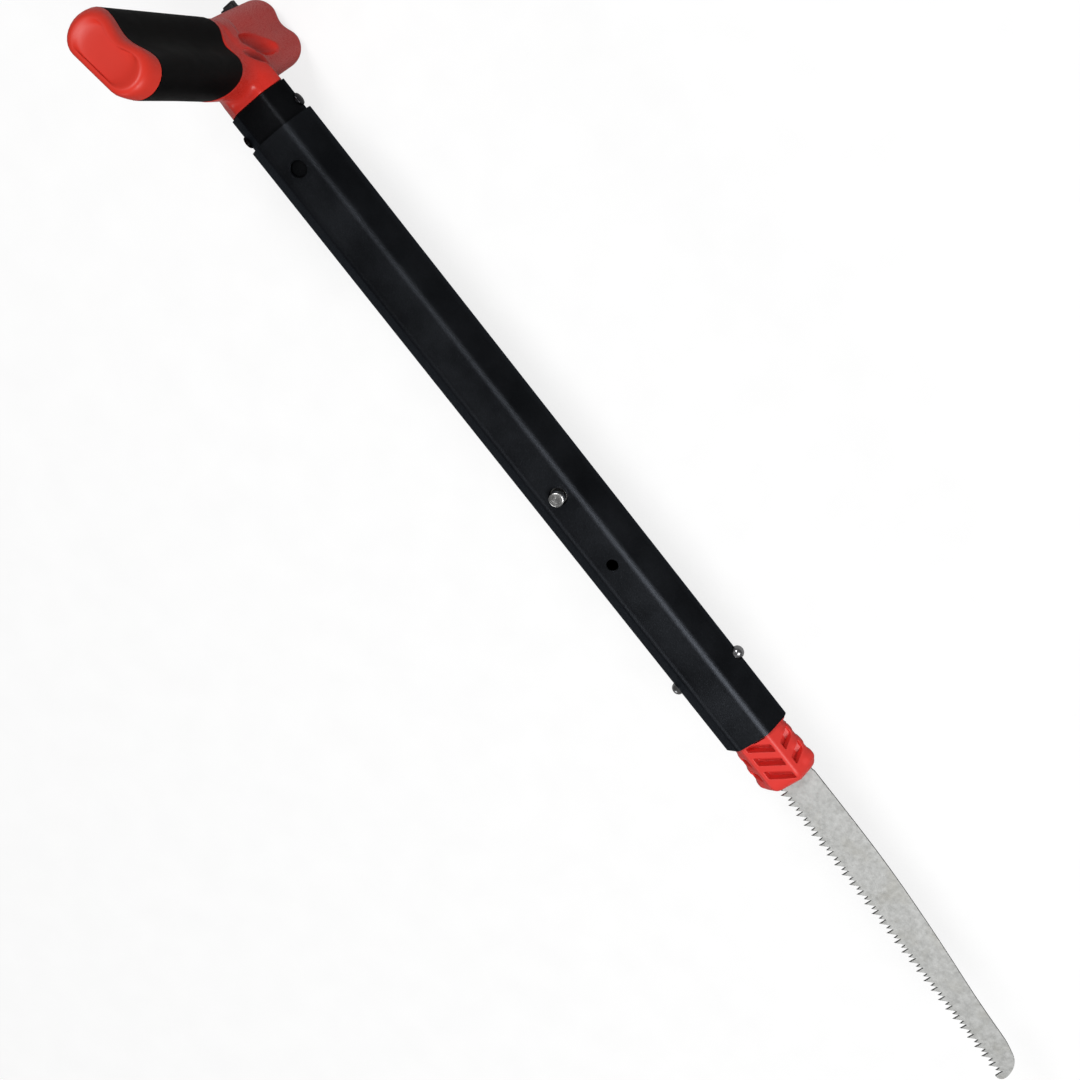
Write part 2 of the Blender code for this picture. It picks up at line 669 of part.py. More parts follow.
CAP_STATIONS = (                 # out from the sleeve's end, half spacing, radius
    (1.5 * GAP, 0.0157, 0.0103),
    (0.0045, 0.0138, 0.0106),
    (0.0071, 0.0127, 0.0105),
    (0.0087, 0.0122, 0.0096),
    (CAP_LENGTH, 0.0119, 0.0080),
)
DISH_STATIONS = (
    (CAP_LENGTH - 0.0012, 0.0114, 0.0056),
    (CAP_LENGTH + 0.0020, 0.0120, 0.0082),
)


def cap_ring(height, half, radius):
    place = SLEEVE_END + height
    return bar_ring(LONG_ARM, place, half, radius, SLEEVE_OUT_WAIST, SLEEVE_OUT_TWIST, SLEEVE_OUT_LEAN)


def make_end_cap(red):
    cap = loft("grip_end_cap", [cap_ring(*station) for station in CAP_STATIONS], red)
    boolean(cap, loft("dish", [cap_ring(*station) for station in DISH_STATIONS]))
    peg_start = BAR_CENTRE + LONG_ARM[1] * (SLEEVE_END - CAP_PEG_LENGTH)
    peg_end = peg_start + LONG_ARM[1] * (CAP_PEG_LENGTH + 0.004)
    boolean(cap, cylinder("peg", CAP_PEG_RADIUS, peg_start, peg_end, 24), "UNION")


LUG_LENGTH = 0.0110              # across the notch, along the short arm
LUG_WIDTH = 0.0062
LUG_HEIGHT = 0.0068
LUG_SEAT = 0.0029                # how deep the lug sits in the short arm
LUG_PLACE = (
    Matrix.Translation((BAR_X - 0.0205, -0.002, AXIS_Z - 0.051))
    @ Matrix(((0, -1, 0, 0), (0, 0, 1, 0), (-1, 0, 0, 0), (0, 0, 0, 1)))
)


def cut_lug_seat(core):
    half = LUG_LENGTH / 2 + GAP
    deep = -LUG_SEAT - GAP
    outline = [(-half, deep), (half, deep), (half, LUG_HEIGHT), (-half, LUG_HEIGHT)]
    width = LUG_WIDTH / 2 + GAP
    boolean(core, prism("seat", outline, -width, width, place=LUG_PLACE))


def make_grip_lug(black):
    """The small notched lug on the short arm's upper side."""
    half = LUG_LENGTH / 2
    low = LUG_HEIGHT * 0.72
    outline = [(-half, -LUG_SEAT), (half, -LUG_SEAT), (half, LUG_HEIGHT), (0.0008, LUG_HEIGHT),
               (0.0002, LUG_HEIGHT * 0.55), (-0.0016, LUG_HEIGHT * 0.5), (-0.0022, low), (-half, low)]
    width = LUG_WIDTH / 2
    prism("grip_lug", outline, -width, width, black, LUG_PLACE)


def make_handle_rivets(steel):
    surface = TUBE_HALF_WIDTH - INNER_INSET + GAP
    start = surface - RIVET_LENGTH
    profile = [(0.0, RIVET_RADIUS), (RIVET_LENGTH, RIVET_RADIUS), (RIVET_LENGTH, RIVET_HEAD_RADIUS)]
    for index in range(1, 6):
        angle = math.radians(90 * index / 6)
        height = RIVET_HEAD_HEIGHT * math.sin(angle)
        profile.append((RIVET_LENGTH + height, RIVET_HEAD_RADIUS * math.cos(angle)))
    for side, name in ((1, "handle_rivet_right"), (-1, "handle_rivet_left")):
        turned(name, profile, Vector((RIVET_X, side * start, AXIS_Z)), Vector((0, side, 0)), 24, steel)


def carry(name, point, pieces):
    """Hangs pieces on an empty at a point of their joint's axis."""
    holder = bpy.data.objects.new(name, None)
    bpy.context.scene.collection.objects.link(holder)
    holder.location = point
    for piece_name in pieces:
        piece = bpy.data.objects[piece_name]
        piece.data.transform(Matrix.Translation(-point))
        piece.parent = holder


def main():
    clear_scene()
    black_tube = finish_of("black_anodised", (0.02, 0.021, 0.024), 0.7, 0.42)
    black_inner = finish_of("black_anodised_inner", (0.02, 0.02, 0.022), 0.7, 0.38)
    red = finish_of("red_plastic", (0.85, 0.06, 0.03), 0.0, 0.3)
    red_cap = finish_of("red_plastic_cap", (0.85, 0.07, 0.035), 0.0, 0.35)
    red_plug = finish_of("red_plastic_plug", (0.85, 0.05, 0.025), 0.0, 0.35)
    rubber = finish_of("black_rubber", (0.02, 0.02, 0.02), 0.0, 0.7)
    nylon = finish_of("black_nylon", (0.03, 0.03, 0.03), 0.0, 0.5)
    button_steel = finish_of("button_steel", (0.7, 0.7, 0.7), 1.0, 0.3)
    spring_steel = finish_of("spring_steel", (0.5, 0.5, 0.52), 1.0, 0.35)
    blade_steel = finish_of("blade_steel", (0.6, 0.6, 0.58), 1.0, 0.4)
    rivet_steel = finish_of("rivet_black", (0.05, 0.05, 0.05), 0.8, 0.35)
    make_outer_tube(black_tube)
    make_inner_tube(black_inner)
    make_inner_bush(nylon)
    make_lock(button_steel, spring_steel)
    make_side_buttons(button_steel, spring_steel)
    make_saw_plug(red_plug)
    make_saw_blade(blade_steel)
    make_blade_pins(spring_steel)
    make_grip_core(red)
    make_grip_sleeve(rubber)
    make_end_cap(red_cap)
    make_grip_lug(nylon)
    make_handle_rivets(rivet_steel)
    axis_point = Vector((TUBE_TOP, 0, AXIS_Z))
    grip = ("inner_tube", "inner_tube_bush", "grip_core", "grip_sleeve", "grip_end_cap", "grip_lug",
            "handle_rivet_left", "handle_rivet_right", "lock_spring")
    carry("grip_slide", axis_point, grip)
    carry("lock_press", Vector((LOCK_X, 0, AXIS_Z)), ("lock_button",))
    for side, name in ((1, "right"), (-1, "left")):
        point = Vector((SIDE_BUTTON_X, side * TUBE_HALF_WIDTH, AXIS_Z))
        carry(f"{name}_button_press", point, (f"side_button_{name}",))
    saw = ("saw_plug", "saw_blade", "blade_pin_front", "blade_pin_rear")
    carry("saw_pull", Vector((TUBE_MOUTH, 0, AXIS_Z)), saw)


main()
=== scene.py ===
"""The looks of a telescoping shaft with a push-in saw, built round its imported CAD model."""

import math

import bmesh
import bpy
import numpy as np
from mathutils import Euler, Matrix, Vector


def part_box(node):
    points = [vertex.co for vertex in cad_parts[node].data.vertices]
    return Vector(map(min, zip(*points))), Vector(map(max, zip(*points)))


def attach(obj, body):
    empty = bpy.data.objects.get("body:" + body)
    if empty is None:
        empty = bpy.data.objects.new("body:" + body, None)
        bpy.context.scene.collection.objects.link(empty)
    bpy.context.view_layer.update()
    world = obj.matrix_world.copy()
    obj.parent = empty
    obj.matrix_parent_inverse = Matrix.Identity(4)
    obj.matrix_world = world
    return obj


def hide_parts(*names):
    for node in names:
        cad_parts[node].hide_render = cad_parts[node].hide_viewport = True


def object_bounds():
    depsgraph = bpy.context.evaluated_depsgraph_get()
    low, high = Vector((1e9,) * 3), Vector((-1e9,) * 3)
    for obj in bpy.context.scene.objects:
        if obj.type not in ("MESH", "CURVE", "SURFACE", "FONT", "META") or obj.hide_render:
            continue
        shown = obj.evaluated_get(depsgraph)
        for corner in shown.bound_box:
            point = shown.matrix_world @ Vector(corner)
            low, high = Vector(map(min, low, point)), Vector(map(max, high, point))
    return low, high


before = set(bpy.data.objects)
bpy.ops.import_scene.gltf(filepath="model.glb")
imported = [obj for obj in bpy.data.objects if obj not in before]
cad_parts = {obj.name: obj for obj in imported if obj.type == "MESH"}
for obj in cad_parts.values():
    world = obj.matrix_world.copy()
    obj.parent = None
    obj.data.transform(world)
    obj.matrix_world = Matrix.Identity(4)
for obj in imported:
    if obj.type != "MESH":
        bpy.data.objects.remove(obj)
CAD_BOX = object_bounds()
MM = 0.001
GAP = 0.3 * MM

# ---------------------------------------------------------------- measures read from the frame
TUBE_LOW, TUBE_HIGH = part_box("outer_tube")
AXIS_Z = (TUBE_LOW.z + TUBE_HIGH.z) / 2
TUBE_TOP, TUBE_MOUTH = TUBE_LOW.x, TUBE_HIGH.x
HALF_WIDTH = TUBE_HIGH.y
HALF_DEPTH = (TUBE_HIGH.z - TUBE_LOW.z) / 2
INNER_LOW, INNER_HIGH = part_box("inner_tube")
NECK_X = INNER_LOW.x
INNER_END_X = INNER_HIGH.x
COLLAR_END_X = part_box("saw_plug")[1].x
BLADE_LOW, BLADE_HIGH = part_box("saw_blade")
LOCK_LOW, LOCK_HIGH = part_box("lock_button")
LOCK_X = (LOCK_LOW.x + LOCK_HIGH.x) / 2
SIDE_LOW, SIDE_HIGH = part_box("side_button_right")
SIDE_BUTTON_X = (SIDE_LOW.x + SIDE_HIGH.x) / 2
RIVET_LOW, RIVET_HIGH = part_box("handle_rivet_right")
RIVET_X = (RIVET_LOW.x + RIVET_HIGH.x) / 2

# ---------------------------------------------------------------- other measures of the part
WALL = 1.4 * MM
INNER_INSET = 1.9 * MM           # from the outer tube's outline to the inner tube's
INNER_WALL = 1.3 * MM
TRAVEL = 202 * MM
UPPER_HOLE_X = LOCK_X - TRAVEL
SPARE_HOLE_X = LOCK_X + 44.5 * MM
LOCK_HOLE = 4.7 * MM             # the radii of the holes and of the rivets' stems
UPPER_HOLE = 4.2 * MM
SPARE_HOLE = 3.0 * MM
SIDE_HOLE = 3.9 * MM
INNER_LOCK_HOLE = 4.3 * MM
RIVET_HOLE = 2.7 * MM
RIVET_STEM = 2.4 * MM
RIVET_HEAD_HEIGHT = 1.1 * MM
LOCK_STEM = 3.9 * MM
LOCK_EDGE = 0.7 * MM
LOCK_STEM_LENGTH = 7.4 * MM
SIDE_DOME = 3.2 * MM
PIN_HOLE = 2.3 * MM
PIN_PLACES = (TUBE_MOUTH - 9 * MM, TUBE_MOUTH - 20 * MM)
SLOT_LOW, SLOT_HIGH = -11.8 * MM, 12.2 * MM
SLOT_HALF = 0.95 * MM


# ---------------------------------------------------------------- node materials
class Shader:
    """A Principled material with small helpers for procedural detail."""

    def __init__(self, name, color, roughness, metallic=0.0, **sockets):
        self.material = bpy.data.materials.new(name)
        self.material.use_nodes = True
        self.nodes = self.material.node_tree.nodes
        self.links = self.material.node_tree.links
        self.bsdf = self.nodes["Principled BSDF"]
        self.bsdf.inputs["Base Color"].default_value = (*color, 1)
        self.bsdf.inputs["Roughness"].default_value = roughness
        self.bsdf.inputs["Metallic"].default_value = metallic
        for socket, value in sockets.items():
            self.bsdf.inputs[socket.replace("_", " ")].default_value = value
        self.coordinates = self.nodes.new("ShaderNodeTexCoord").outputs["Object"]
        self.last_normal = None

    def stretched(self, scale):
        mapping = self.nodes.new("ShaderNodeMapping")
        mapping.inputs["Scale"].default_value = scale
        self.links.new(self.coordinates, mapping.inputs["Vector"])
        return mapping.outputs["Vector"]

    def noise(self, scale, detail=3.0, rough=0.55, stretch=None):
        node = self.nodes.new("ShaderNodeTexNoise")
        node.inputs["Scale"].default_value = scale
        node.inputs["Detail"].default_value = detail
        node.inputs["Roughness"].default_value = rough
        self.links.new(self.stretched(stretch) if stretch else self.coordinates, node.inputs["Vector"])
        return node.outputs["Fac"]

    def cells(self, scale, feature="F1"):
        node = self.nodes.new("ShaderNodeTexVoronoi")
        node.feature = feature
        node.inputs["Scale"].default_value = scale
        self.links.new(self.coordinates, node.inputs["Vector"])
        return node.outputs["Distance"]

    def remap(self, value, low, high, to_low, to_high):
        node = self.nodes.new("ShaderNodeMapRange")
        node.inputs["From Min"].default_value = low
        node.inputs["From Max"].default_value = high
        node.inputs["To Min"].default_value = to_low
        node.inputs["To Max"].default_value = to_high
        self.links.new(value, node.inputs["Value"])
        return node.outputs["Result"]

    def mix(self, factor, first, second):
        node = self.nodes.new("ShaderNodeMix")
        node.data_type = "RGBA"
        self.links.new(factor, node.inputs[0])
        for socket, value in ((node.inputs[6], first), (node.inputs[7], second)):
            if isinstance(value, tuple):
                socket.default_value = (*value, 1)
            else:
                self.links.new(value, socket)
        return node.outputs[2]

    def height_from(self, level):
        """How far a point lies above or below a level along the object's Z axis."""
        split = self.nodes.new("ShaderNodeSeparateXYZ")
        self.links.new(self.coordinates, split.inputs["Vector"])
        height = self.nodes.new("ShaderNodeMath")
        height.operation = "SUBTRACT"
        height.inputs[1].default_value = level
        self.links.new(split.outputs["Z"], height.inputs[0])
        distance = self.nodes.new("ShaderNodeMath")
        distance.operation = "ABSOLUTE"
        self.links.new(height.outputs[0], distance.inputs[0])
        return distance.outputs[0]

    def color(self, value):
        self.links.new(value, self.bsdf.inputs["Base Color"])

    def roughness(self, value):
        self.links.new(value, self.bsdf.inputs["Roughness"])

    def bump(self, height, strength, distance):
        node = self.nodes.new("ShaderNodeBump")
        node.inputs["Strength"].default_value = strength
        node.inputs["Distance"].default_value = distance
        self.links.new(height, node.inputs["Height"])
        if self.last_normal:
            self.links.new(self.last_normal, node.inputs["Normal"])
        self.last_normal = node.outputs["Normal"]
        self.links.new(self.last_normal, self.bsdf.inputs["Normal"])


def anodised(name, color, roughness):
    """Bead-blasted, black anodised aluminium: fine grain, faint drawn lines and rubbed patches."""
    shader = Shader(name, color, roughness, 1.0, Specular_Tint=(0.50, 0.52, 0.55, 1.0))
    grain = shader.noise(2300, 2.0, 0.7)
    patches = shader.noise(38, 4.0)
    lines = shader.noise(900, 2.0, 0.5, (0.02, 1, 1))
    lighter = tuple(channel * 1.15 for channel in color)
    darker = tuple(channel * 0.85 for channel in color)
    shader.color(shader.mix(shader.remap(patches, 0.3, 0.7, 0, 1), darker, lighter))
    shader.roughness(shader.remap(patches, 0.3, 0.7, roughness - 0.05, roughness + 0.06))
    shader.bump(grain, 0.80, 0.00012)
    shader.bump(lines, 0.10, 0.00005)
    return shader.material


def moulded(name, color, roughness, grain_strength=0.12):
    """Glossy injection-moulded plastic with a soft flow pattern and a light surface grain."""
    shader = Shader(name, color, roughness, 0.0, IOR=1.45, Specular_IOR_Level=0.35)
    flow = shader.noise(26, 3.0)
    grain = shader.noise(2600, 3.0)
    wave = shader.noise(120, 2.0)
    deeper = (color[0] * 0.90, color[1] * 0.80, color[2] * 0.80)
    shader.color(shader.mix(shader.remap(flow, 0.3, 0.7, 0, 1), deeper, color))
    shader.roughness(shader.remap(grain, 0.2, 0.8, roughness - 0.05, roughness + 0.08))
    shader.bump(grain, grain_strength, 0.00004)
    shader.bump(wave, 0.12, 0.00012)
    return shader.material


def rubber_material():
    shader = Shader("grip_rubber", (0.0035, 0.0032, 0.0033), 0.55, 0.0, IOR=1.30, Specular_IOR_Level=0.12)
    pebbles = shader.cells(2200)
    dust = shader.noise(60, 5.0)
    dusty = shader.remap(dust, 0.45, 0.8, 0, 1)
    shader.color(shader.mix(dusty, (0.0030, 0.0027, 0.0028), (0.0070, 0.0064, 0.0064)))
    shader.roughness(shader.remap(dust, 0.3, 0.7, 0.50, 0.64))
    shader.bump(pebbles, 0.35, 0.00007)
    shader.bump(shader.noise(300, 2.0), 0.10, 0.0001)
    return shader.material


def blade_material():
    """Satin stainless sheet: cloudy, with faint brown and green stains and fine grinding lines."""
    shader = Shader("blade_steel", (0.52, 0.52, 0.50), 0.42, 0.75)
    clouds = shader.noise(330, 6.0, 0.72)
    stains = shader.noise(60, 4.0, 0.6)
    lines = shader.noise(1300, 2.0, 0.5, (1, 0.03, 1))
    specks = shader.noise(900, 2.0)
    base = shader.mix(shader.remap(clouds, 0.32, 0.68, 0, 1), (0.66, 0.665, 0.645), (0.73, 0.735, 0.72))
    stained = shader.mix(shader.remap(stains, 0.50, 0.72, 0, 0.45), base, (0.52, 0.50, 0.43))
    speckled = shader.mix(shader.remap(specks, 0.62, 0.75, 0, 0.30), stained, (0.46, 0.46, 0.45))
    # Painted shade: the narrow faces and ground bevels between the two flat sides are painted near black, as if
    # they lay in shade.
    half = (BLADE_HIGH.z - BLADE_LOW.z) / 2
    painted_edge_shade = shader.remap(shader.height_from(AXIS_Z), 0.80 * half, 0.97 * half, 0.85, 0.0)
    shader.color(shader.mix(painted_edge_shade, speckled, (0.10, 0.10, 0.095)))
    shader.roughness(shader.remap(clouds, 0.3, 0.7, 0.36, 0.50))
    shader.bump(lines, 0.12, 0.00004)
    shader.bump(clouds, 0.08, 0.0001)
    return shader.material


def bright_steel(name, color, roughness, rings=None):
    """Plated steel; rings gives the centre and axis of the turning marks on a button's end."""
    shader = Shader(name, color, roughness, 1.0)
    scuffs = shader.noise(700, 4.0, 0.6)
    tarnish = shader.noise(160, 3.0)
    darker = tuple(channel * 0.7 for channel in color)
    shader.color(shader.mix(shader.remap(tarnish, 0.35, 0.7, 0, 1), darker, color))
    shader.roughness(shader.remap(scuffs, 0.3, 0.7, roughness - 0.06, roughness + 0.12))
    shader.bump(scuffs, 0.10, 0.00003)
    if rings:
        mapping = shader.nodes.new("ShaderNodeMapping")
        mapping.inputs["Location"].default_value = tuple(-value for value in rings)
        shader.links.new(shader.coordinates, mapping.inputs["Vector"])
        wave = shader.nodes.new("ShaderNodeTexWave")
        wave.wave_type = "RINGS"
        wave.rings_direction = "Z"
        wave.inputs["Scale"].default_value = 900
        wave.inputs["Distortion"].default_value = 0.4
        shader.links.new(mapping.outputs["Vector"], wave.inputs["Vector"])
        shader.bump(wave.outputs["Fac"], 0.25, 0.00003)
    return shader.material


TUBE_BLACK = anodised("tube_black", (0.026, 0.0285, 0.033), 0.39)
INNER_BLACK = anodised("inner_black", (0.016, 0.017, 0.019), 0.36)
RED_GRIP = moulded("red_grip", (0.70, 0.036, 0.024), 0.27)
RED_CAP = moulded("red_cap", (0.72, 0.042, 0.025), 0.38, 0.2)
RED_COLLAR = moulded("red_collar", (0.78, 0.050, 0.040), 0.38, 0.2)
RUBBER = rubber_material()
NYLON = moulded("black_nylon", (0.014, 0.014, 0.015), 0.42, 0.25)
BUTTON_STEEL = bright_steel("button_steel", (0.74, 0.74, 0.73), 0.26, (LOCK_X, 0, 0))
DOME_STEEL = bright_steel("dome_steel", (0.42, 0.42, 0.43), 0.24)
SPRING_STEEL = bright_steel("spring_steel", (0.48, 0.49, 0.50), 0.34)
RIVET_BLACK = bright_steel("rivet_black", (0.05, 0.05, 0.055), 0.30)
BLADE_STEEL = blade_material()


# ---------------------------------------------------------------- mesh helpers
def piece(name, mesh, material, body, slot, *nodes, sharp=35):
    mesh.materials.clear()
    mesh.materials.append(material)
    mesh.shade_smooth()
    if sharp:
        mesh.set_sharp_from_angle(angle=math.radians(sharp))
    item = bpy.data.objects.new(name, mesh)
    bpy.context.scene.collection.objects.link(item)
    if body:
        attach(item, body)
    if nodes:
        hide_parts(*nodes)
    return item


def mesh_of(bm, name):
    bmesh.ops.recalc_face_normals(bm, faces=bm.faces)
    mesh = bpy.data.meshes.new(name)
    bm.to_mesh(mesh)
    bm.free()
    return mesh


def loft_mesh(name, rings, close=True):
    """Closed rings of equal length joined by quads. close fills the two ends, otherwise they join up."""
    bm = bmesh.new()
    rows = [[bm.verts.new(point) for point in ring] for ring in rings]
    pairs = list(zip(rows, rows[1:]))
    if not close:
        pairs.append((rows[-1], rows[0]))
    for first, second in pairs:
        count = len(first)
        for index in range(count):
            after = (index + 1) % count
            bm.faces.new((first[index], first[after], second[after], second[index]))
    if close:
        bm.faces.new(rows[0])
        bm.faces.new(rows[-1][::-1])
    return mesh_of(bm, name)


def turned_mesh(name, profile, base, direction, sides=64):
    """A solid turned about direction: profile holds (height, radius) pairs from the base."""
    turn = Vector((0, 0, 1)).rotation_difference(direction).to_matrix()
    rings = []
    for height, radius in profile:
        ring = []
        for index in range(sides):
            angle = 2 * math.pi * index / sides
            ring.append(base + turn @ Vector((radius * math.cos(angle), radius * math.sin(angle), height)))
        rings.append(ring)
    return loft_mesh(name, rings)


def prism_mesh(name, outline, low, high):
    return loft_mesh(name, [[Vector((x, y, z)) for x, y in outline] for z in (low, high)])


def cut(mesh, tools, operation="DIFFERENCE"):
    """The mesh after booleans with each tool mesh."""
    target = bpy.data.objects.new("cut_target", mesh)
    bpy.context.scene.collection.objects.link(target)
    helpers = []
    for tool_mesh in tools:
        tool = bpy.data.objects.new("cut_tool", tool_mesh)
        bpy.context.scene.collection.objects.link(tool)
        helpers.append(tool)
        modifier = target.modifiers.new("cut", "BOOLEAN")
        modifier.object = tool
        modifier.operation = operation
        modifier.solver = "EXACT"
    graph = bpy.context.evaluated_depsgraph_get()
    result = bpy.data.meshes.new_from_object(target.evaluated_get(graph))
    for helper in (*helpers, target):
        bpy.data.objects.remove(helper)
    return result


def surface_net(name, field, low, high, step):
    """A smooth quad mesh of where field is zero: field takes x, y and z arrays and is negative inside."""
    axes = [np.arange(low[k], high[k] + step, step) for k in range(3)]
    grid = np.meshgrid(*axes, indexing="ij")
    values = field(*grid).astype(np.float32)
    inside = values < 0
    shape = np.array(values.shape) - 1
    total = np.zeros((*shape, 3), np.float64)
    count = np.zeros(shape, np.int32)
    for axis in range(3):
        others = [k for k in range(3) if k != axis]
        for first in (0, 1):
            for second in (0, 1):
                start = [0, 0, 0]
                start[others[0]], start[others[1]] = first, second
                near = tuple(slice(start[k], start[k] + shape[k]) for k in range(3))
                start[axis] = 1
                far = tuple(slice(start[k], start[k] + shape[k]) for k in range(3))
                crossing = inside[near] != inside[far]
                a, b = values[near], values[far]
                part = np.where(crossing, a / np.where(crossing, a - b, 1), 0)
                offset = np.zeros((*shape, 3))
                offset[..., others[0]], offset[..., others[1]] = first, second
                offset[..., axis] = part
                total += np.where(crossing[..., None], offset, 0)
                count += crossing
    used = count > 0
    number = np.full(shape, -1, np.int64)
    number[used] = np.arange(used.sum())
    cells = np.argwhere(used)
    points = (cells + total[used] / count[used][:, None]) * step + np.array([axis[0] for axis in axes])
    faces = []
    for axis in range(3):
        p, q = (axis + 1) % 3, (axis + 2) % 3
        near = [slice(1, -1)] * 3
        far = [slice(1, -1)] * 3
        near[axis], far[axis] = slice(0, -1), slice(1, None)
        change = inside[tuple(near)].astype(np.int8) - inside[tuple(far)].astype(np.int8)
        where = np.argwhere(change != 0)
        sign = change[tuple(where.T)]
        where[:, p] += 1
        where[:, q] += 1
        corners = []
        for dp, dq in ((0, 0), (-1, 0), (-1, -1), (0, -1)):
            corner = where.copy()
            corner[:, p] += dp
            corner[:, q] += dq
            corners.append(number[tuple(corner.T)])
        quad = np.stack(corners, 1)
        quad[sign < 0] = quad[sign < 0][:, ::-1]
        faces.append(quad)
    faces = np.concatenate(faces)
    mesh = bpy.data.meshes.new(name)
    mesh.from_pydata(points.tolist(), [], faces.tolist())
    mesh.validate()
    return mesh


# ---------------------------------------------------------------- the shaft's outline
FLAT_HALF = 6.43 * MM
SIDE_RADIUS = 6.0 * MM
RIDGE_RADIUS = 6.0 * MM


def arc_points(centre_y, centre_z, radius, start, stop, steps):
    points = []
    for index in range(steps + 1):
        angle = start + (stop - start) * index / steps
        points.append((centre_y + radius * math.cos(angle), centre_z + radius * math.sin(angle)))
    return points


def shaft_outline(inset=0.0, steps=10):
    """Two broad flats, four ridges and two rounded sides, as (y, z) from the shaft's axis."""
    side_y = HALF_WIDTH - SIDE_RADIUS
    ridge_z = HALF_DEPTH - RIDGE_RADIUS
    run_y, run_z = side_y - FLAT_HALF, -ridge_z
    length = math.hypot(run_y, run_z)
    flank = math.atan2(-run_z, run_y) - math.asin((SIDE_RADIUS - RIDGE_RADIUS) / length)
    normal = math.pi / 2 - flank
    side = arc_points(side_y, 0, SIDE_RADIUS - inset, -normal, normal, 2 * steps)
    ridge = arc_points(FLAT_HALF, ridge_z, RIDGE_RADIUS - inset, normal, math.pi / 2, steps)
    outline = side + ridge
    outline += [(-y, z) for y, z in reversed(ridge)]
    outline += [(-y, z) for y, z in reversed(side)]
    outline += [(-y, -z) for y, z in ridge]
    outline += [(y, -z) for y, z in reversed(ridge)]
    return outline


def outline_ring(x, inset, steps=10):
    return [Vector((x, y, AXIS_Z + z)) for y, z in shaft_outline(inset, steps)]


def tube_mesh(name, start, end, outer, wall, lip=0.45 * MM):
    """An open tube of the shaft's section, its ends drawn in by lip."""
    steps = [lip * (1 - math.sin(math.radians(90 * index / 4))) for index in range(5)]
    rings = [outline_ring(start + step, outer + step) for step in steps]
    rings += [outline_ring(end - step, outer + step) for step in reversed(steps)]
    inner = outer + wall
    rings.append(outline_ring(end - 0.2 * MM, inner))
    rings.append(outline_ring(start + 0.2 * MM, inner))
    return loft_mesh(name, rings, close=False)


def hole_tool(radius, start, direction, depth, chamfer=0.25 * MM, surface=0.0):
    """A drill with a small countersink where it meets a surface that lies at a height from its start."""
    profile = [(surface - depth, radius), (surface - chamfer, radius), (surface, radius + chamfer),
               (surface + 3 * MM, radius + chamfer + 3 * MM)]
    return turned_mesh("drill", profile, start, direction, 48)


def make_outer_tube():
    mesh = tube_mesh("outer_tube_shell", TUBE_TOP, TUBE_MOUTH, 0.0, WALL)
    up = Vector((0, 0, 1))
    tools = []
    for x, radius in ((LOCK_X, LOCK_HOLE), (UPPER_HOLE_X, UPPER_HOLE), (SPARE_HOLE_X, SPARE_HOLE)):
        tools.append(hole_tool(radius, Vector((x, 0, AXIS_Z)), up, 5 * MM, surface=HALF_DEPTH))
    for side in (-1, 1):
        sideways = Vector((0, side, 0))
        start = Vector((SIDE_BUTTON_X, 0, AXIS_Z))
        tools.append(hole_tool(SIDE_HOLE, start, sideways, 6 * MM, surface=HALF_WIDTH))
    piece("outer_tube_shell", cut(mesh, tools), TUBE_BLACK, "shaft", "tube_black", "outer_tube", sharp=28)


def make_inner_tube():
    mesh = tube_mesh("inner_tube_shell", NECK_X, INNER_END_X, INNER_INSET, INNER_WALL, 0.3 * MM)
    start = Vector((LOCK_X, 0, AXIS_Z))
    up = Vector((0, 0, 1))
    tools = [hole_tool(INNER_LOCK_HOLE, start, up, 5 * MM, surface=HALF_DEPTH - INNER_INSET)]
    for side in (-1, 1):
        start = Vector((RIVET_X, 0, AXIS_Z))
        sideways = Vector((0, side, 0))
        tools.append(hole_tool(RIVET_HOLE, start, sideways, 6 * MM, surface=HALF_WIDTH - INNER_INSET))
    piece("inner_tube_shell", cut(mesh, tools), INNER_BLACK, "grip", "inner_black", "inner_tube", sharp=28)


# ---------------------------------------------------------------- buttons, rivets, lug
def dome_profile(length, radius, dome, steps=12):
    profile = [(0.0, radius)]
    for index in range(steps):
        angle = math.radians(90 * index / steps)
        profile.append((length - dome + dome * math.sin(angle), radius * math.cos(angle)))
    profile.append((length, radius * 0.04))
    return profile


# The lock button's end from its edge to its centre, as (radius, how deep) in mm
LOCK_END = ((2.75, 0.0), (2.6, 0.14), (2.3, 0.14), (2.15, 0.0), (1.75, 0.0), (1.6, 0.12), (1.3, 0.12),
            (1.15, 0.0), (0.6, 0.02), (0.1, 0.05))


def make_lock_button():
    height = LOCK_HIGH.z - LOCK_LOW.z
    outer = (LOCK_HIGH.x - LOCK_LOW.x) / 2
    flange = height - LOCK_STEM_LENGTH
    profile = [(0, outer), (flange, outer), (flange, LOCK_STEM)]
    for index in range(7):
        drop = LOCK_EDGE * (1 - math.sin(math.radians(90 * index / 6)))
        inset = LOCK_EDGE * (1 - math.cos(math.radians(90 * index / 6)))
        profile.append((height - drop, LOCK_STEM - inset))
    for radius, drop in LOCK_END:
        profile.append((height - drop * MM, radius * MM))
    base = Vector((LOCK_X, 0, LOCK_LOW.z))
    mesh = turned_mesh("lock_button_turned", profile, base, Vector((0, 0, 1)), 72)
    piece("lock_button_turned", mesh, BUTTON_STEEL, "lock", "button_steel", "lock_button", sharp=30)


def inner_and_tip(node, side):
    """The y of a side piece's inner end and of its tip, and half its width."""
    low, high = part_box(node)
    ends = (low.y, high.y) if side > 0 else (high.y, low.y)
    return *ends, (high.x - low.x) / 2


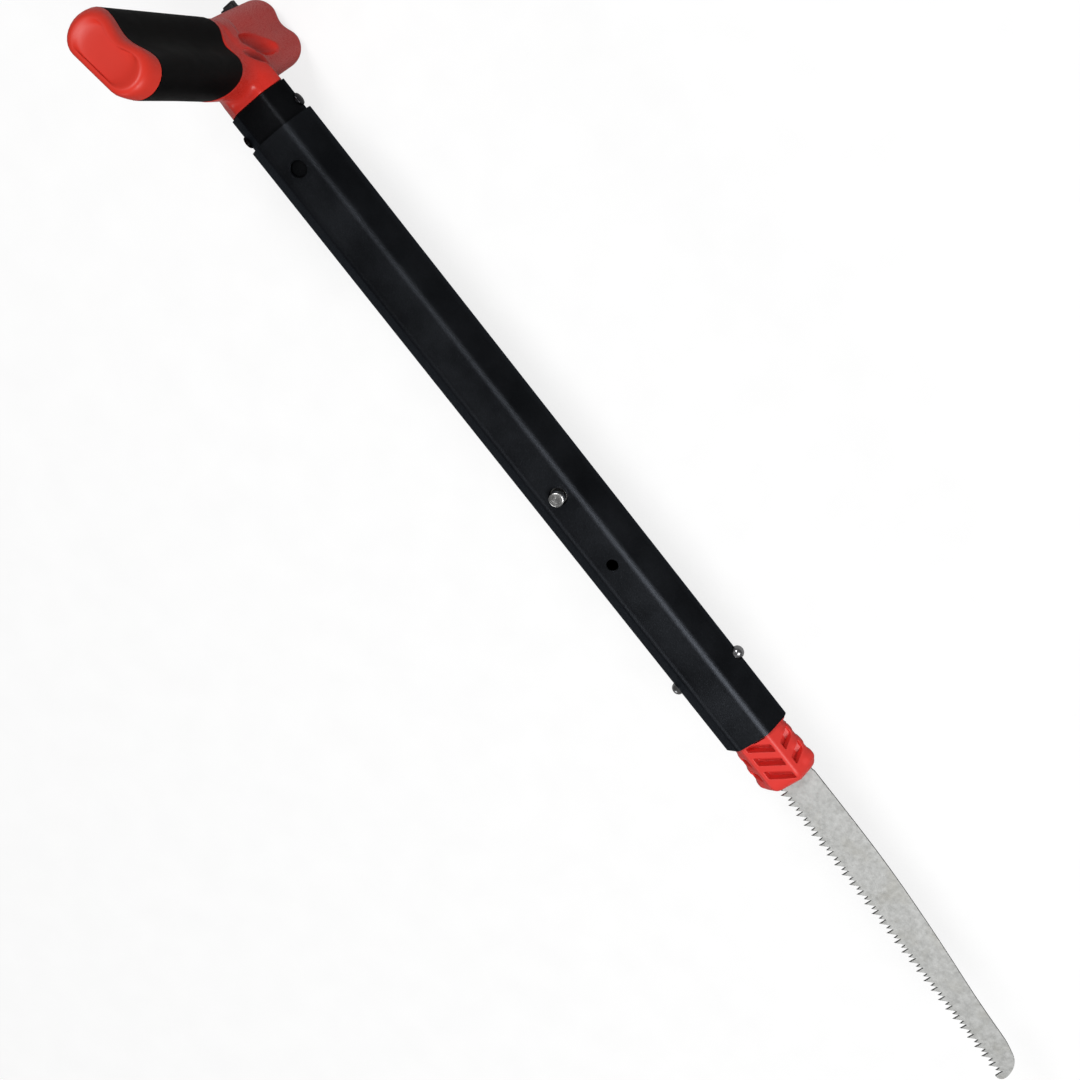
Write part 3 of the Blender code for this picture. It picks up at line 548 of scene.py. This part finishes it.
def make_side_buttons_and_rivets():
    for side, word in ((1, "right"), (-1, "left")):
        sideways = Vector((0, side, 0))
        node = f"side_button_{word}"
        inner, tip, radius = inner_and_tip(node, side)
        profile = dome_profile(abs(tip - inner), radius, SIDE_DOME)
        mesh = turned_mesh("dome", profile, Vector((SIDE_BUTTON_X, inner, AXIS_Z)), sideways)
        piece(f"{node}_dome", mesh, DOME_STEEL, f"button_{word}", "button_steel", node)
        node = f"handle_rivet_{word}"
        inner, tip, head = inner_and_tip(node, side)
        under = abs(tip - inner) - RIVET_HEAD_HEIGHT
        profile = [(0, RIVET_STEM), (under, RIVET_STEM), (under, head)]
        for index in range(9):
            angle = math.radians(90 * index / 9)
            profile.append((under + RIVET_HEAD_HEIGHT * math.sin(angle), head * math.cos(angle)))
        profile.append((under + RIVET_HEAD_HEIGHT, 0.1 * MM))
        mesh = turned_mesh("rivet", profile, Vector((RIVET_X, inner, AXIS_Z)), sideways, 48)
        piece(f"{node}_head", mesh, RIVET_BLACK, "grip", "rivet_black", node)


# The lug seen from the side, as shares of its half length and of its height
LUG_OUTLINE = ((-1, 0), (1, 0), (1, 0.62), (0.86, 0.70), (0.86, 1), (0.06, 1), (0.02, 0.72), (-0.24, 0.66),
               (-0.30, 0.84), (-0.94, 0.82), (-1, 0.6))


def make_lug():
    """The notched lug on the short arm's upper side, its edges rounded."""
    low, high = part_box("grip_lug")
    half = (high.z - low.z) / 2
    middle = (high.z + low.z) / 2
    width = (high.y - low.y) / 2
    centre_y = (high.y + low.y) / 2
    tip, seat = low.x, high.x
    tall = seat - tip
    rings = []
    for side in (-1, 1):
        places = [(middle - z * half, seat - h * tall) for z, h in LUG_OUTLINE]
        rings.append([Vector((x, centre_y + side * width, z)) for z, x in places])
    mesh = loft_mesh("grip_lug_notched", rings)
    item = piece("grip_lug_notched", mesh, NYLON, "grip", "black_nylon", "grip_lug", sharp=40)
    bevel = item.modifiers.new("soft_edges", "BEVEL")
    bevel.width = 0.45 * MM
    bevel.segments = 3


# ---------------------------------------------------------------- the grip
BAR_X = TUBE_TOP - 41 * MM
LONG_LEAN = math.radians(11.6)
SLEEVE_START = 24.8 * MM
SLEEVE_END = 94.6 * MM
SHORT_REACH = 72.5 * MM
SLEEVE_WALL = 3.4 * MM
BAR_CENTRE = Vector((BAR_X, 0, AXIS_Z))
LONG_ARM = (BAR_CENTRE, Vector((-math.sin(LONG_LEAN), 0, math.cos(LONG_LEAN))))
SHORT_ARM = (BAR_CENTRE - Vector((0.6 * MM, 0, 0)), Vector((-0.067, 0, -1)).normalized())
# The sleeve's section at its shaft end and at the cap: half spacing, radius, waist, twist and lean. The lean
# says how far the section moves out along the arm for each metre towards the blade, and towards +Y.
START_HALF, START_RADIUS, START_WAIST = 9.6 * MM, 12.0 * MM, 1.7 * MM
START_TWIST = math.radians(2)
START_LEAN = (0.15, -0.93)
END_HALF, END_RADIUS, END_WAIST = 15.8 * MM, 10.3 * MM, 2.5 * MM
END_TWIST = math.radians(16.5)
END_LEAN = (0.24, -0.24)
CAPSULE_STEPS = 14               # round each end
WAIST_STEPS = 10                 # along each side


def capsule(half_spacing, radius, waist):
    """A round-ended bar section: (u, y) points, u along the shaft. waist hollows its +Y side."""
    points = []
    for side in (1, -1):
        for index in range(CAPSULE_STEPS + 1):
            angle = math.radians(180 * index / CAPSULE_STEPS - 90)
            points.append((side * (half_spacing + radius * math.cos(angle)), side * radius * math.sin(angle)))
        for index in range(1, WAIST_STEPS):
            u = half_spacing * (1 - 2 * index / WAIST_STEPS)
            dip = waist * (0.5 + 0.5 * math.cos(math.pi * u / half_spacing)) if side > 0 else 0.0
            points.append((side * u, side * radius - dip))
    return points


def bar_ring(arm, distance, half_spacing, radius, waist=0.0, twist=0.0, lean=(0.0, 0.0)):
    start, direction = arm
    side = Vector((0, 1, 0))
    along = side.cross(direction)
    if along.x < 0:
        along = -along
    centre = start + direction * distance
    ring = []
    for u, y in capsule(half_spacing, radius, waist):
        u, y = u * math.cos(twist) - y * math.sin(twist), u * math.sin(twist) + y * math.cos(twist)
        ring.append(centre + along * u + side * y + direction * (u * lean[0] + y * lean[1]))
    return ring


def inner_end_ring(shift, inset):
    return bar_ring(LONG_ARM, SLEEVE_START + shift, START_HALF - inset / 3, START_RADIUS - inset, START_WAIST,
                    START_TWIST, START_LEAN)


def outer_end_ring(shift, inset):
    return bar_ring(LONG_ARM, SLEEVE_END + shift, END_HALF - inset / 3, END_RADIUS - inset, END_WAIST,
                    END_TWIST, END_LEAN)


def between(first, second, part):
    return [a.lerp(b, part) for a, b in zip(first, second)]


def make_sleeve():
    """The rubber sleeve: edges drawn in at both ends and a soft hollow along its length for the fingers."""
    lip = 0.7 * MM
    steps = [lip * (1 - math.sin(math.radians(90 * index / 4))) for index in range(5)]
    rings = [inner_end_ring(step, step) for step in steps]
    first = inner_end_ring(lip, 0.0)
    last = outer_end_ring(-lip, 0.0)
    for index in range(1, 24):
        rings.append(between(first, last, index / 24))
    rings += [outer_end_ring(-step, step) for step in reversed(steps)]
    bore = SLEEVE_WALL - 1.2 * GAP
    rings.append(outer_end_ring(0.0, bore))
    rings.append(inner_end_ring(0.0, bore))
    mesh = loft_mesh("grip_sleeve_rubber", rings, close=False)
    piece("grip_sleeve_rubber", mesh, RUBBER, "grip", "grip_rubber", "grip_sleeve", sharp=50)


def make_cap():
    """The end cap: a rounded rim round a shallow dish that follows its bean-shaped outline."""
    def ring(height, half_spacing, radius, waist=2.5):
        return bar_ring(LONG_ARM, SLEEVE_END + height * MM, half_spacing * MM, radius * MM, waist * MM,
                        END_TWIST, END_LEAN)

    stations = [(0.45, 15.7, 10.25), (2.5, 14.7, 10.5), (4.5, 13.8, 10.6), (6.2, 13.1, 10.6),
                (7.2, 12.7, 10.35), (8.1, 12.5, 9.95), (8.8, 12.3, 9.35), (9.25, 12.2, 8.7),
                (9.45, 12.1, 8.0), (9.45, 12.0, 7.5)]
    rings = [ring(*station) for station in stations]
    rim = rings[-1]
    half = len(rim) // 2
    opposite = [rim[(half - index + CAPSULE_STEPS) % len(rim)] for index in range(len(rim))]
    spine = [point.lerp(other, 0.5) for point, other in zip(rim, opposite)]
    direction = LONG_ARM[1]
    for part, drop in ((0.08, 0.25), (0.17, 0.75), (0.27, 1.2), (0.40, 1.45), (0.60, 1.6), (0.80, 1.65),
                       (0.97, 1.65)):
        rings.append([point.lerp(middle, part) - direction * drop * MM for point, middle in zip(rim, spine)])
    mesh = loft_mesh("grip_end_cap_dished", rings)
    piece("grip_end_cap_dished", mesh, RED_CAP, "grip", "red_plastic", "grip_end_cap", sharp=60)


def smooth_min(a, b, k):
    h = np.clip(0.5 + 0.5 * (b - a) / k, 0, 1)
    return b + (a - b) * h - k * h * (1 - h)


def smooth_max(a, b, k):
    return -smooth_min(-a, -b, k)


def arm_field(arm, x, y, z, distances, half_spacings, radii, waists, twists):
    """Distance to an arm whose rounded section changes along its length, and the distance along it."""
    start, direction = arm
    along = Vector((0, 1, 0)).cross(direction)
    if along.x < 0:
        along = -along
    px, pz = x - start.x, z - start.z
    t = px * direction.x + pz * direction.z
    u = px * along.x + pz * along.z
    twist = np.interp(t, distances, twists)
    c, s = np.cos(twist), np.sin(twist)
    u, v = u * c + y * s, -u * s + y * c
    a = np.interp(t, distances, half_spacings)
    r = np.interp(t, distances, radii)
    w = np.interp(t, distances, waists)
    wave = np.where(np.abs(u) < a, 0.5 + 0.5 * np.cos(np.pi * np.clip(u / a, -1, 1)), 0)
    dip = w * wave * np.clip(v / r, 0, 1)
    return np.hypot(np.maximum(np.abs(u) - a, 0), v) - r + dip, t, u, y


def outline_field(y, z, inset, k, narrow=0.0):
    """Distance to the shaft's outline made of its flats, flanks and sides; narrow draws the sides in."""
    ay, az = np.abs(y), np.abs(z - AXIS_Z)
    turn = math.radians(41.2)
    flank = math.cos(turn) * ay + math.sin(turn) * az - (15.78 * MM - inset)
    flat = az - (HALF_DEPTH - inset)
    side = ay - (HALF_WIDTH - inset - narrow)
    return smooth_max(smooth_max(flank, flat, k), side, 3 * k)


def hollow_field(x, y, z, centre, direction, radii):
    """A rough distance to an ellipsoid whose long axis lies in the XZ plane along direction."""
    length = math.hypot(*direction)
    ax, az = direction[0] / length, direction[1] / length
    px, py, pz = x - centre[0], y - centre[1], z - centre[2]
    along, across = px * ax + pz * az, px * az - pz * ax
    q = np.sqrt((along / radii[0]) ** 2 + (across / radii[1]) ** 2 + (py / radii[2]) ** 2)
    return (q - 1) * min(radii)


LEAVES = (
    # centre, direction in XZ, radii (long, wide, deep), softness of the rim
    ((-232.8, 15.0, -6.5), (0.19, -0.98), (21.5, 7.4, 10.5), 0.45),
    ((-222.5, 16.5, 5.0), (0.47, -0.88), (19.0, 5.2, 9.2), 0.6),
)


def grip_field(x, y, z):
    long, t, u, v = arm_field(LONG_ARM, x, y, z, [-0.004, SLEEVE_START, SLEEVE_END],
                              [8.8 * MM, START_HALF, END_HALF], [11.2 * MM, START_RADIUS, END_RADIUS],
                              [0.4 * MM, START_WAIST, END_WAIST], [0, START_TWIST, END_TWIST])
    end = t - (SLEEVE_START - 1.2 * GAP + u * START_LEAN[0] + v * START_LEAN[1])
    long_body = smooth_max(smooth_max(long, end, 0.8 * MM), -t - 4 * MM, 3 * MM)
    short, t2, u2, v2 = arm_field(SHORT_ARM, x, y, z, [-0.004, 0.032, 0.0725],
                                  [8.8 * MM, 8.7 * MM, 8.6 * MM], [11.0 * MM, 10.9 * MM, 10.5 * MM],
                                  [0.2 * MM, 1.6 * MM, 2.6 * MM], [0, 0, 0])
    tip = t2 - (SHORT_REACH + u2 * 0.08 + v2 * 0.19)
    short_body = smooth_max(smooth_max(short, tip, 7 * MM), -t2 - 4 * MM, 3 * MM)
    bar = smooth_min(long_body, short_body, 3 * MM)
    back = NECK_X - x
    stations = [0.0, 7 * MM, 13 * MM, 19 * MM, 26 * MM]
    stretch_y = np.interp(back, stations, [1.0, 0.99, 0.93, 0.84, 0.70])
    stretch_z = np.interp(back, stations, [1.0, 1.08, 1.35, 1.75, 2.0])
    neck = outline_field(y / stretch_y, AXIS_Z + (z - AXIS_Z) / stretch_z, INNER_INSET, 1.6 * MM)
    neck = smooth_max(neck, back - 27 * MM, 2 * MM)
    neck = np.maximum(neck, 1.5 * GAP - back)
    whole = smooth_min(bar, neck, 4 * MM)
    whole = np.maximum(whole, 1.5 * GAP - back)
    for side in (-1, 1):
        for centre, direction, radii, softness in LEAVES:
            place = (centre[0] * MM, side * centre[1] * MM, centre[2] * MM)
            hollow = hollow_field(x, y, z, place, direction, [radius * MM for radius in radii])
            whole = smooth_max(whole, -hollow, softness * MM)
    return np.where(t > SLEEVE_START - 14 * MM, smooth_max(whole, end, 0.8 * MM), whole)


def make_grip():
    low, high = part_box("grip_core")
    lower = np.array([low.x - MM, low.y - MM, low.z - MM])
    upper = np.array([NECK_X + MM, high.y + MM, AXIS_Z + 45 * MM])
    mesh = surface_net("grip_core_moulded", grip_field, lower, upper, 0.55 * MM)
    piece("grip_core_moulded", mesh, RED_GRIP, "grip", "red_plastic", "grip_core", sharp=48)
    stub = [inner_end_ring(-3 * MM, SLEEVE_WALL), outer_end_ring(-GAP, SLEEVE_WALL)]
    piece("grip_core_stub", loft_mesh("grip_core_stub", stub), RED_GRIP, "grip", "red_plastic", sharp=50)
    spigot = [outline_ring(NECK_X - 2 * MM, INNER_INSET + INNER_WALL + GAP),
              outline_ring(NECK_X + 30 * MM, INNER_INSET + INNER_WALL + GAP)]
    piece("grip_core_spigot", loft_mesh("grip_core_spigot", spigot), RED_GRIP, "grip", "red_plastic", sharp=50)


# ---------------------------------------------------------------- the saw
COLLAR_INSET = 1.7 * MM
COLLAR_START = TUBE_MOUTH + GAP
POCKET_WIDTH = 5.0 * MM
POCKET_PITCH = 9.2 * MM
FLANK_PITCH = 9.9 * MM
FLANK_TURN = math.radians(48.8)
FLANK_REACH = 14.08 * MM


def slot_field(x, y, start, slope, low, high, corner):
    """Distance, in the plane, to a slanted pocket with rounded corners."""
    lean = math.cos(math.atan(slope))
    middle = start + POCKET_WIDTH / 2 + slope * y
    across = np.abs(x - middle) * lean - POCKET_WIDTH / 2 * lean
    along = np.abs(y - (low + high) / 2) - (high - low) / 2
    return np.hypot(np.maximum(across + corner, 0), np.maximum(along + corner, 0)) \
        + np.minimum(np.maximum(across, along) + corner, 0) - corner


def collar_field(x, y, z):
    narrow = 2.2 * MM * np.clip(1 - (x - COLLAR_START) / (26 * MM), 0, 1)
    body = outline_field(y, z, COLLAR_INSET, 1.0 * MM, narrow)
    left = COLLAR_END_X - x
    round_off = smooth_max(body, -left, 8 * MM)
    whole = np.maximum(round_off, COLLAR_START - x)
    from_rib = np.mod(x - COLLAR_START - 2.5 * MM, POCKET_PITCH) - POCKET_PITCH / 2
    side_rib = np.exp(-(from_rib / (2.6 * MM)) ** 4)
    on_side = np.clip((np.abs(y) - 12.5 * MM) / (2.5 * MM), 0, 1)
    whole = whole - 0.6 * MM * side_rib * on_side * np.clip((x - COLLAR_START - 3 * MM) / (2 * MM), 0, 1)
    depth = 5.0 * MM
    flank_depth = 4.3 * MM
    for face in (1, -1):
        fy, fz = y * face, (z - AXIS_Z) * face
        floor = HALF_DEPTH - COLLAR_INSET - depth - fz
        for index in range(3):
            start = TUBE_MOUTH + 2.2 * MM + index * POCKET_PITCH
            pocket = slot_field(x, fy, start, 0.56, -6.2 * MM, 6.4 * MM, 0.7 * MM)
            pocket = smooth_max(pocket, COLLAR_START + 0.9 * MM - x, 0.4 * MM)
            whole = smooth_max(whole, -np.maximum(pocket, floor), 0.5 * MM)
        for side in (1, -1):
            sy = fy * side
            across = sy * math.cos(FLANK_TURN) - fz * math.sin(FLANK_TURN)
            height = sy * math.sin(FLANK_TURN) + fz * math.cos(FLANK_TURN)
            for index in range(2):
                start = TUBE_MOUTH + 8.5 * MM + index * FLANK_PITCH
                pocket = slot_field(x, across, start, -0.40, 0.0, 8.8 * MM, 0.7 * MM)
                shallow = 2.0 * MM * np.clip((across - 6 * MM) / (3 * MM), 0, 1)
                pocket = np.maximum(pocket, FLANK_REACH - flank_depth + shallow - height)
                whole = smooth_max(whole, -pocket, 0.5 * MM)
    slot = np.maximum(np.abs(z - AXIS_Z) - SLOT_HALF, np.maximum(SLOT_LOW - y, y - SLOT_HIGH))
    return np.maximum(whole, -slot)


def pin_drills(reach):
    """Drills for the blade's two pins, reaching as far to each side of the shaft's axis."""
    return [turned_mesh("drill", [(-reach, PIN_HOLE), (reach, PIN_HOLE)], Vector((x, 0, AXIS_Z)),
                        Vector((0, 0, 1)), 32) for x in PIN_PLACES]


def make_collar():
    lower = np.array([COLLAR_START - MM, -HALF_WIDTH, AXIS_Z - HALF_DEPTH])
    upper = np.array([COLLAR_END_X + MM, HALF_WIDTH, AXIS_Z + HALF_DEPTH])
    mesh = surface_net("saw_collar_moulded", collar_field, lower, upper, 0.26 * MM)
    piece("saw_collar_moulded", mesh, RED_COLLAR, "saw", "red_plastic", "saw_plug", sharp=48)
    plug_end, tongue_end = TUBE_MOUTH - 34 * MM, TUBE_MOUTH - 50 * MM
    rings = [outline_ring(COLLAR_START + MM, WALL + GAP), outline_ring(plug_end + 0.6 * MM, WALL + GAP),
             outline_ring(plug_end, WALL + GAP + 0.6 * MM)]
    body = loft_mesh("saw_plug_body", rings)
    slot_start, slot_end = TUBE_MOUTH - 28.3 * MM, TUBE_MOUTH + 10 * MM
    slot = prism_mesh("slot", [(slot_start, SLOT_LOW), (slot_end, SLOT_LOW), (slot_end, SLOT_HIGH),
                               (slot_start, SLOT_HIGH)], AXIS_Z - SLOT_HALF, AXIS_Z + SLOT_HALF)
    body = cut(body, [slot, *pin_drills(20 * MM)])
    piece("saw_plug_body", body, RED_COLLAR, "saw", "red_plastic", sharp=40)
    half = 7.5 * MM
    tongue_low = WALL + GAP + 1.2 * MM
    tongue = prism_mesh("saw_plug_tongue", [(tongue_end, -half), (plug_end + MM, -half), (plug_end + MM, half),
                                            (tongue_end, half)], tongue_low, 2 * AXIS_Z - tongue_low)
    item = piece("saw_plug_tongue", tongue, RED_COLLAR, "saw", "red_plastic", sharp=40)
    bevel = item.modifiers.new("soft_edges", "BEVEL")
    bevel.width = 0.8 * MM
    bevel.segments = 3


TOOTH_PITCH = 7.05 * MM
TOOTH_GROUPS = 29
TOOTH_START_X = 227.9 * MM
TANG_HALF = 11.2 * MM
# A pair of teeth: along from the gullet, in from the line of the long teeth's points, and the grind, in mm
TOOTH_PAIR = ((0.0, 4.4, 0.25), (0.5, 1.6, 0.5), (2.9, 4.4, 0.25), (3.2, 0.0, 0.55))
# From the teeth's end round the nose and back to the collar, in mm
BLADE_BACK = ((436.0, -15.15), (437.8, -14.8), (439.2, -13.7), (439.8, -12.2), (439.6, -10.2), (438.6, -7.4),
              (436.6, -4.2), (433.9, -1.5), (430.5, 0.3), (424.0, 1.8), (418.0, 2.7), (402.0, 3.6), (385.0, 4.8),
              (361.0, 7.0), (340.0, 8.8), (320.0, 10.2), (304.0, 11.1), (288.0, 11.7), (270.0, 12.0),
              (250.0, 12.1), (228.5, 12.1))


def tooth_line(x):
    return -11.72 * MM - 0.0145 * (x - TOOTH_START_X)


def smooth_line(points, steps):
    """The points with a smooth curve through them, steps pieces between each two."""
    result = []
    last = len(points) - 1
    for index in range(last):
        a, b, c, d = [np.array(points[min(max(index + k, 0), last)]) for k in (-1, 0, 1, 2)]
        for step in range(steps):
            t = step / steps
            bend = t * t * (a - 2.5 * b + 2 * c - d / 2) + t ** 3 * (1.5 * (b - c) + (d - a) / 2)
            result.append(tuple(b + t * (c - a) / 2 + bend))
    result.append(points[-1])
    return result


def blade_outline():
    """(x, y, bevel width) points of the blade, from the tang along the teeth, round the tip and back."""
    tang_x = TUBE_MOUTH - 28 * MM
    points = [(tang_x, -TANG_HALF, 0), (COLLAR_END_X - 3 * MM, -TANG_HALF, 0)]
    for group in range(TOOTH_GROUPS + 1):
        start = TOOTH_START_X + group * TOOTH_PITCH
        for along, inwards, grind in TOOTH_PAIR[:3 if group == TOOTH_GROUPS else 4]:
            x = start + along * MM
            points.append((x, tooth_line(x) + inwards * MM, grind * MM))
    for x, y in smooth_line(BLADE_BACK, 3):
        points.append((float(x) * MM, float(y) * MM, 0.06 * MM))
    points.append((227 * MM, 11.7 * MM, 0.06 * MM))
    points.append((COLLAR_END_X - 3 * MM, TANG_HALF + 0.4 * MM, 0.06 * MM))
    points.append((tang_x, TANG_HALF + 0.4 * MM, 0))
    return points


def make_blade():
    """The blade, its teeth ground to an edge from both faces."""
    points = blade_outline()
    count = len(points)
    half = (BLADE_HIGH.z - BLADE_LOW.z) / 2
    face_ring = []
    for index, (x, y, grind) in enumerate(points):
        here = Vector((x, y))
        before = (here - Vector(points[index - 1][:2])).normalized()
        after = (Vector(points[(index + 1) % count][:2]) - here).normalized()
        inward = Vector((-before.y, before.x)) + Vector((-after.y, after.x))
        inward.normalize()
        spread = max(0.33, inward.dot(Vector((-after.y, after.x))))
        face_ring.append(here + inward * min(grind / spread, 1.25 * MM))
    rings = []
    for z, ring in ((-half, face_ring), (-0.12 * half, [Vector(p[:2]) for p in points]),
                    (0.12 * half, [Vector(p[:2]) for p in points]), (half, face_ring)):
        rings.append([Vector((p.x, p.y, AXIS_Z + z)) for p in ring])
    mesh = loft_mesh("saw_blade_ground", rings)
    mesh = cut(mesh, pin_drills(9 * MM))
    piece("saw_blade_ground", mesh, BLADE_STEEL, "saw", "blade_steel", "saw_blade", sharp=12)


def finish_carried_nodes():
    for name, material in (("inner_tube_bush", NYLON), ("lock_spring", SPRING_STEEL),
                           ("side_spring", SPRING_STEEL), ("blade_pin_front", SPRING_STEEL),
                           ("blade_pin_rear", SPRING_STEEL)):
        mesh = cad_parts[name].data
        mesh.materials.clear()
        mesh.materials.append(material)


# ---------------------------------------------------------------- stage
def make_stage():
    floor_z = CAD_BOX[0][2] - 2 * MM
    size = 6.0
    bm = bmesh.new()
    bmesh.ops.create_grid(bm, x_segments=8, y_segments=8, size=size)
    floor = bpy.data.objects.new("floor", mesh_of(bm, "floor"))
    floor.location.z = floor_z
    shader = Shader("pale_floor", (0.93, 0.93, 0.93), 0.9, Emission_Color=(1, 1, 1, 1))
    speckle = shader.noise(40, 2.0)
    pale = shader.mix(shader.remap(speckle, 0.3, 0.7, 0, 1), (0.22, 0.22, 0.22), (0.24, 0.24, 0.24))
    # The floor is pale to the camera and greyer as a reflector, so that it doesn't flood the dark parts.
    seen = shader.nodes.new("ShaderNodeLightPath").outputs["Is Camera Ray"]
    shader.color(shader.mix(seen, (0.30, 0.30, 0.30), pale))
    shader.links.new(shader.remap(seen, 0, 1, 0.02, 0.76), shader.bsdf.inputs["Emission Strength"])
    floor.data.materials.append(shader.material)
    bpy.context.scene.collection.objects.link(floor)
    world = bpy.data.worlds.new("studio")
    bpy.context.scene.world = world
    world.use_nodes = True
    tree = world.node_tree
    background = tree.nodes["Background"]
    background.inputs["Color"].default_value = (1, 1, 1, 1)
    background.inputs["Strength"].default_value = 0.13
    seen = tree.nodes.new("ShaderNodeBackground")
    seen.inputs["Color"].default_value = (0.97, 0.97, 0.97, 1)
    seen.inputs["Strength"].default_value = 1.0
    path = tree.nodes.new("ShaderNodeLightPath")
    choice = tree.nodes.new("ShaderNodeMixShader")
    tree.links.new(path.outputs["Is Camera Ray"], choice.inputs["Fac"])
    tree.links.new(background.outputs["Background"], choice.inputs[1])
    tree.links.new(seen.outputs["Background"], choice.inputs[2])
    tree.links.new(choice.outputs["Shader"], tree.nodes["World Output"].inputs["Surface"])


def area_light(name, place, target, width, height, power):
    light = bpy.data.lights.new(name, "AREA")
    light.shape = "RECTANGLE"
    light.size = width
    light.size_y = height
    light.energy = power
    item = bpy.data.objects.new(name, light)
    item.location = place
    item.rotation_euler = (Vector(target) - Vector(place)).to_track_quat("-Z", "Y").to_euler()
    item.visible_camera = False
    bpy.context.scene.collection.objects.link(item)


def make_lights():
    area_light("key", (0.72, 0.42, 1.25), (0.10, 0, 0), 0.80, 0.55, 15)
    area_light("left_strip", (0.60, -1.40, 0.85), (0.15, 0, 0), 0.8, 0.25, 3.5)
    area_light("grip_light", (-0.95, 0.28, 1.30), (-0.20, 0, 0.05), 0.35, 0.35, 11)


def make_camera():
    camera = bpy.data.objects.new("camera", bpy.data.cameras.new("camera"))
    camera.data.sensor_width = 36
    camera.data.lens = 58.617
    camera.data.clip_start = 0.01
    camera.location = (-0.11807, 0.32857, 0.82388)
    turn = (math.radians(-22.926), math.radians(12.215), math.radians(51.103))
    camera.rotation_euler = Euler(turn, "XYZ")
    bpy.context.scene.collection.objects.link(camera)
    bpy.context.scene.camera = camera
    bpy.context.scene.view_settings.view_transform = "Standard"


make_camera()
make_stage()
make_lights()
make_outer_tube()
make_inner_tube()
make_lock_button()
make_side_buttons_and_rivets()
make_lug()
make_sleeve()
make_cap()
make_grip()
make_collar()
make_blade()
finish_carried_nodes()
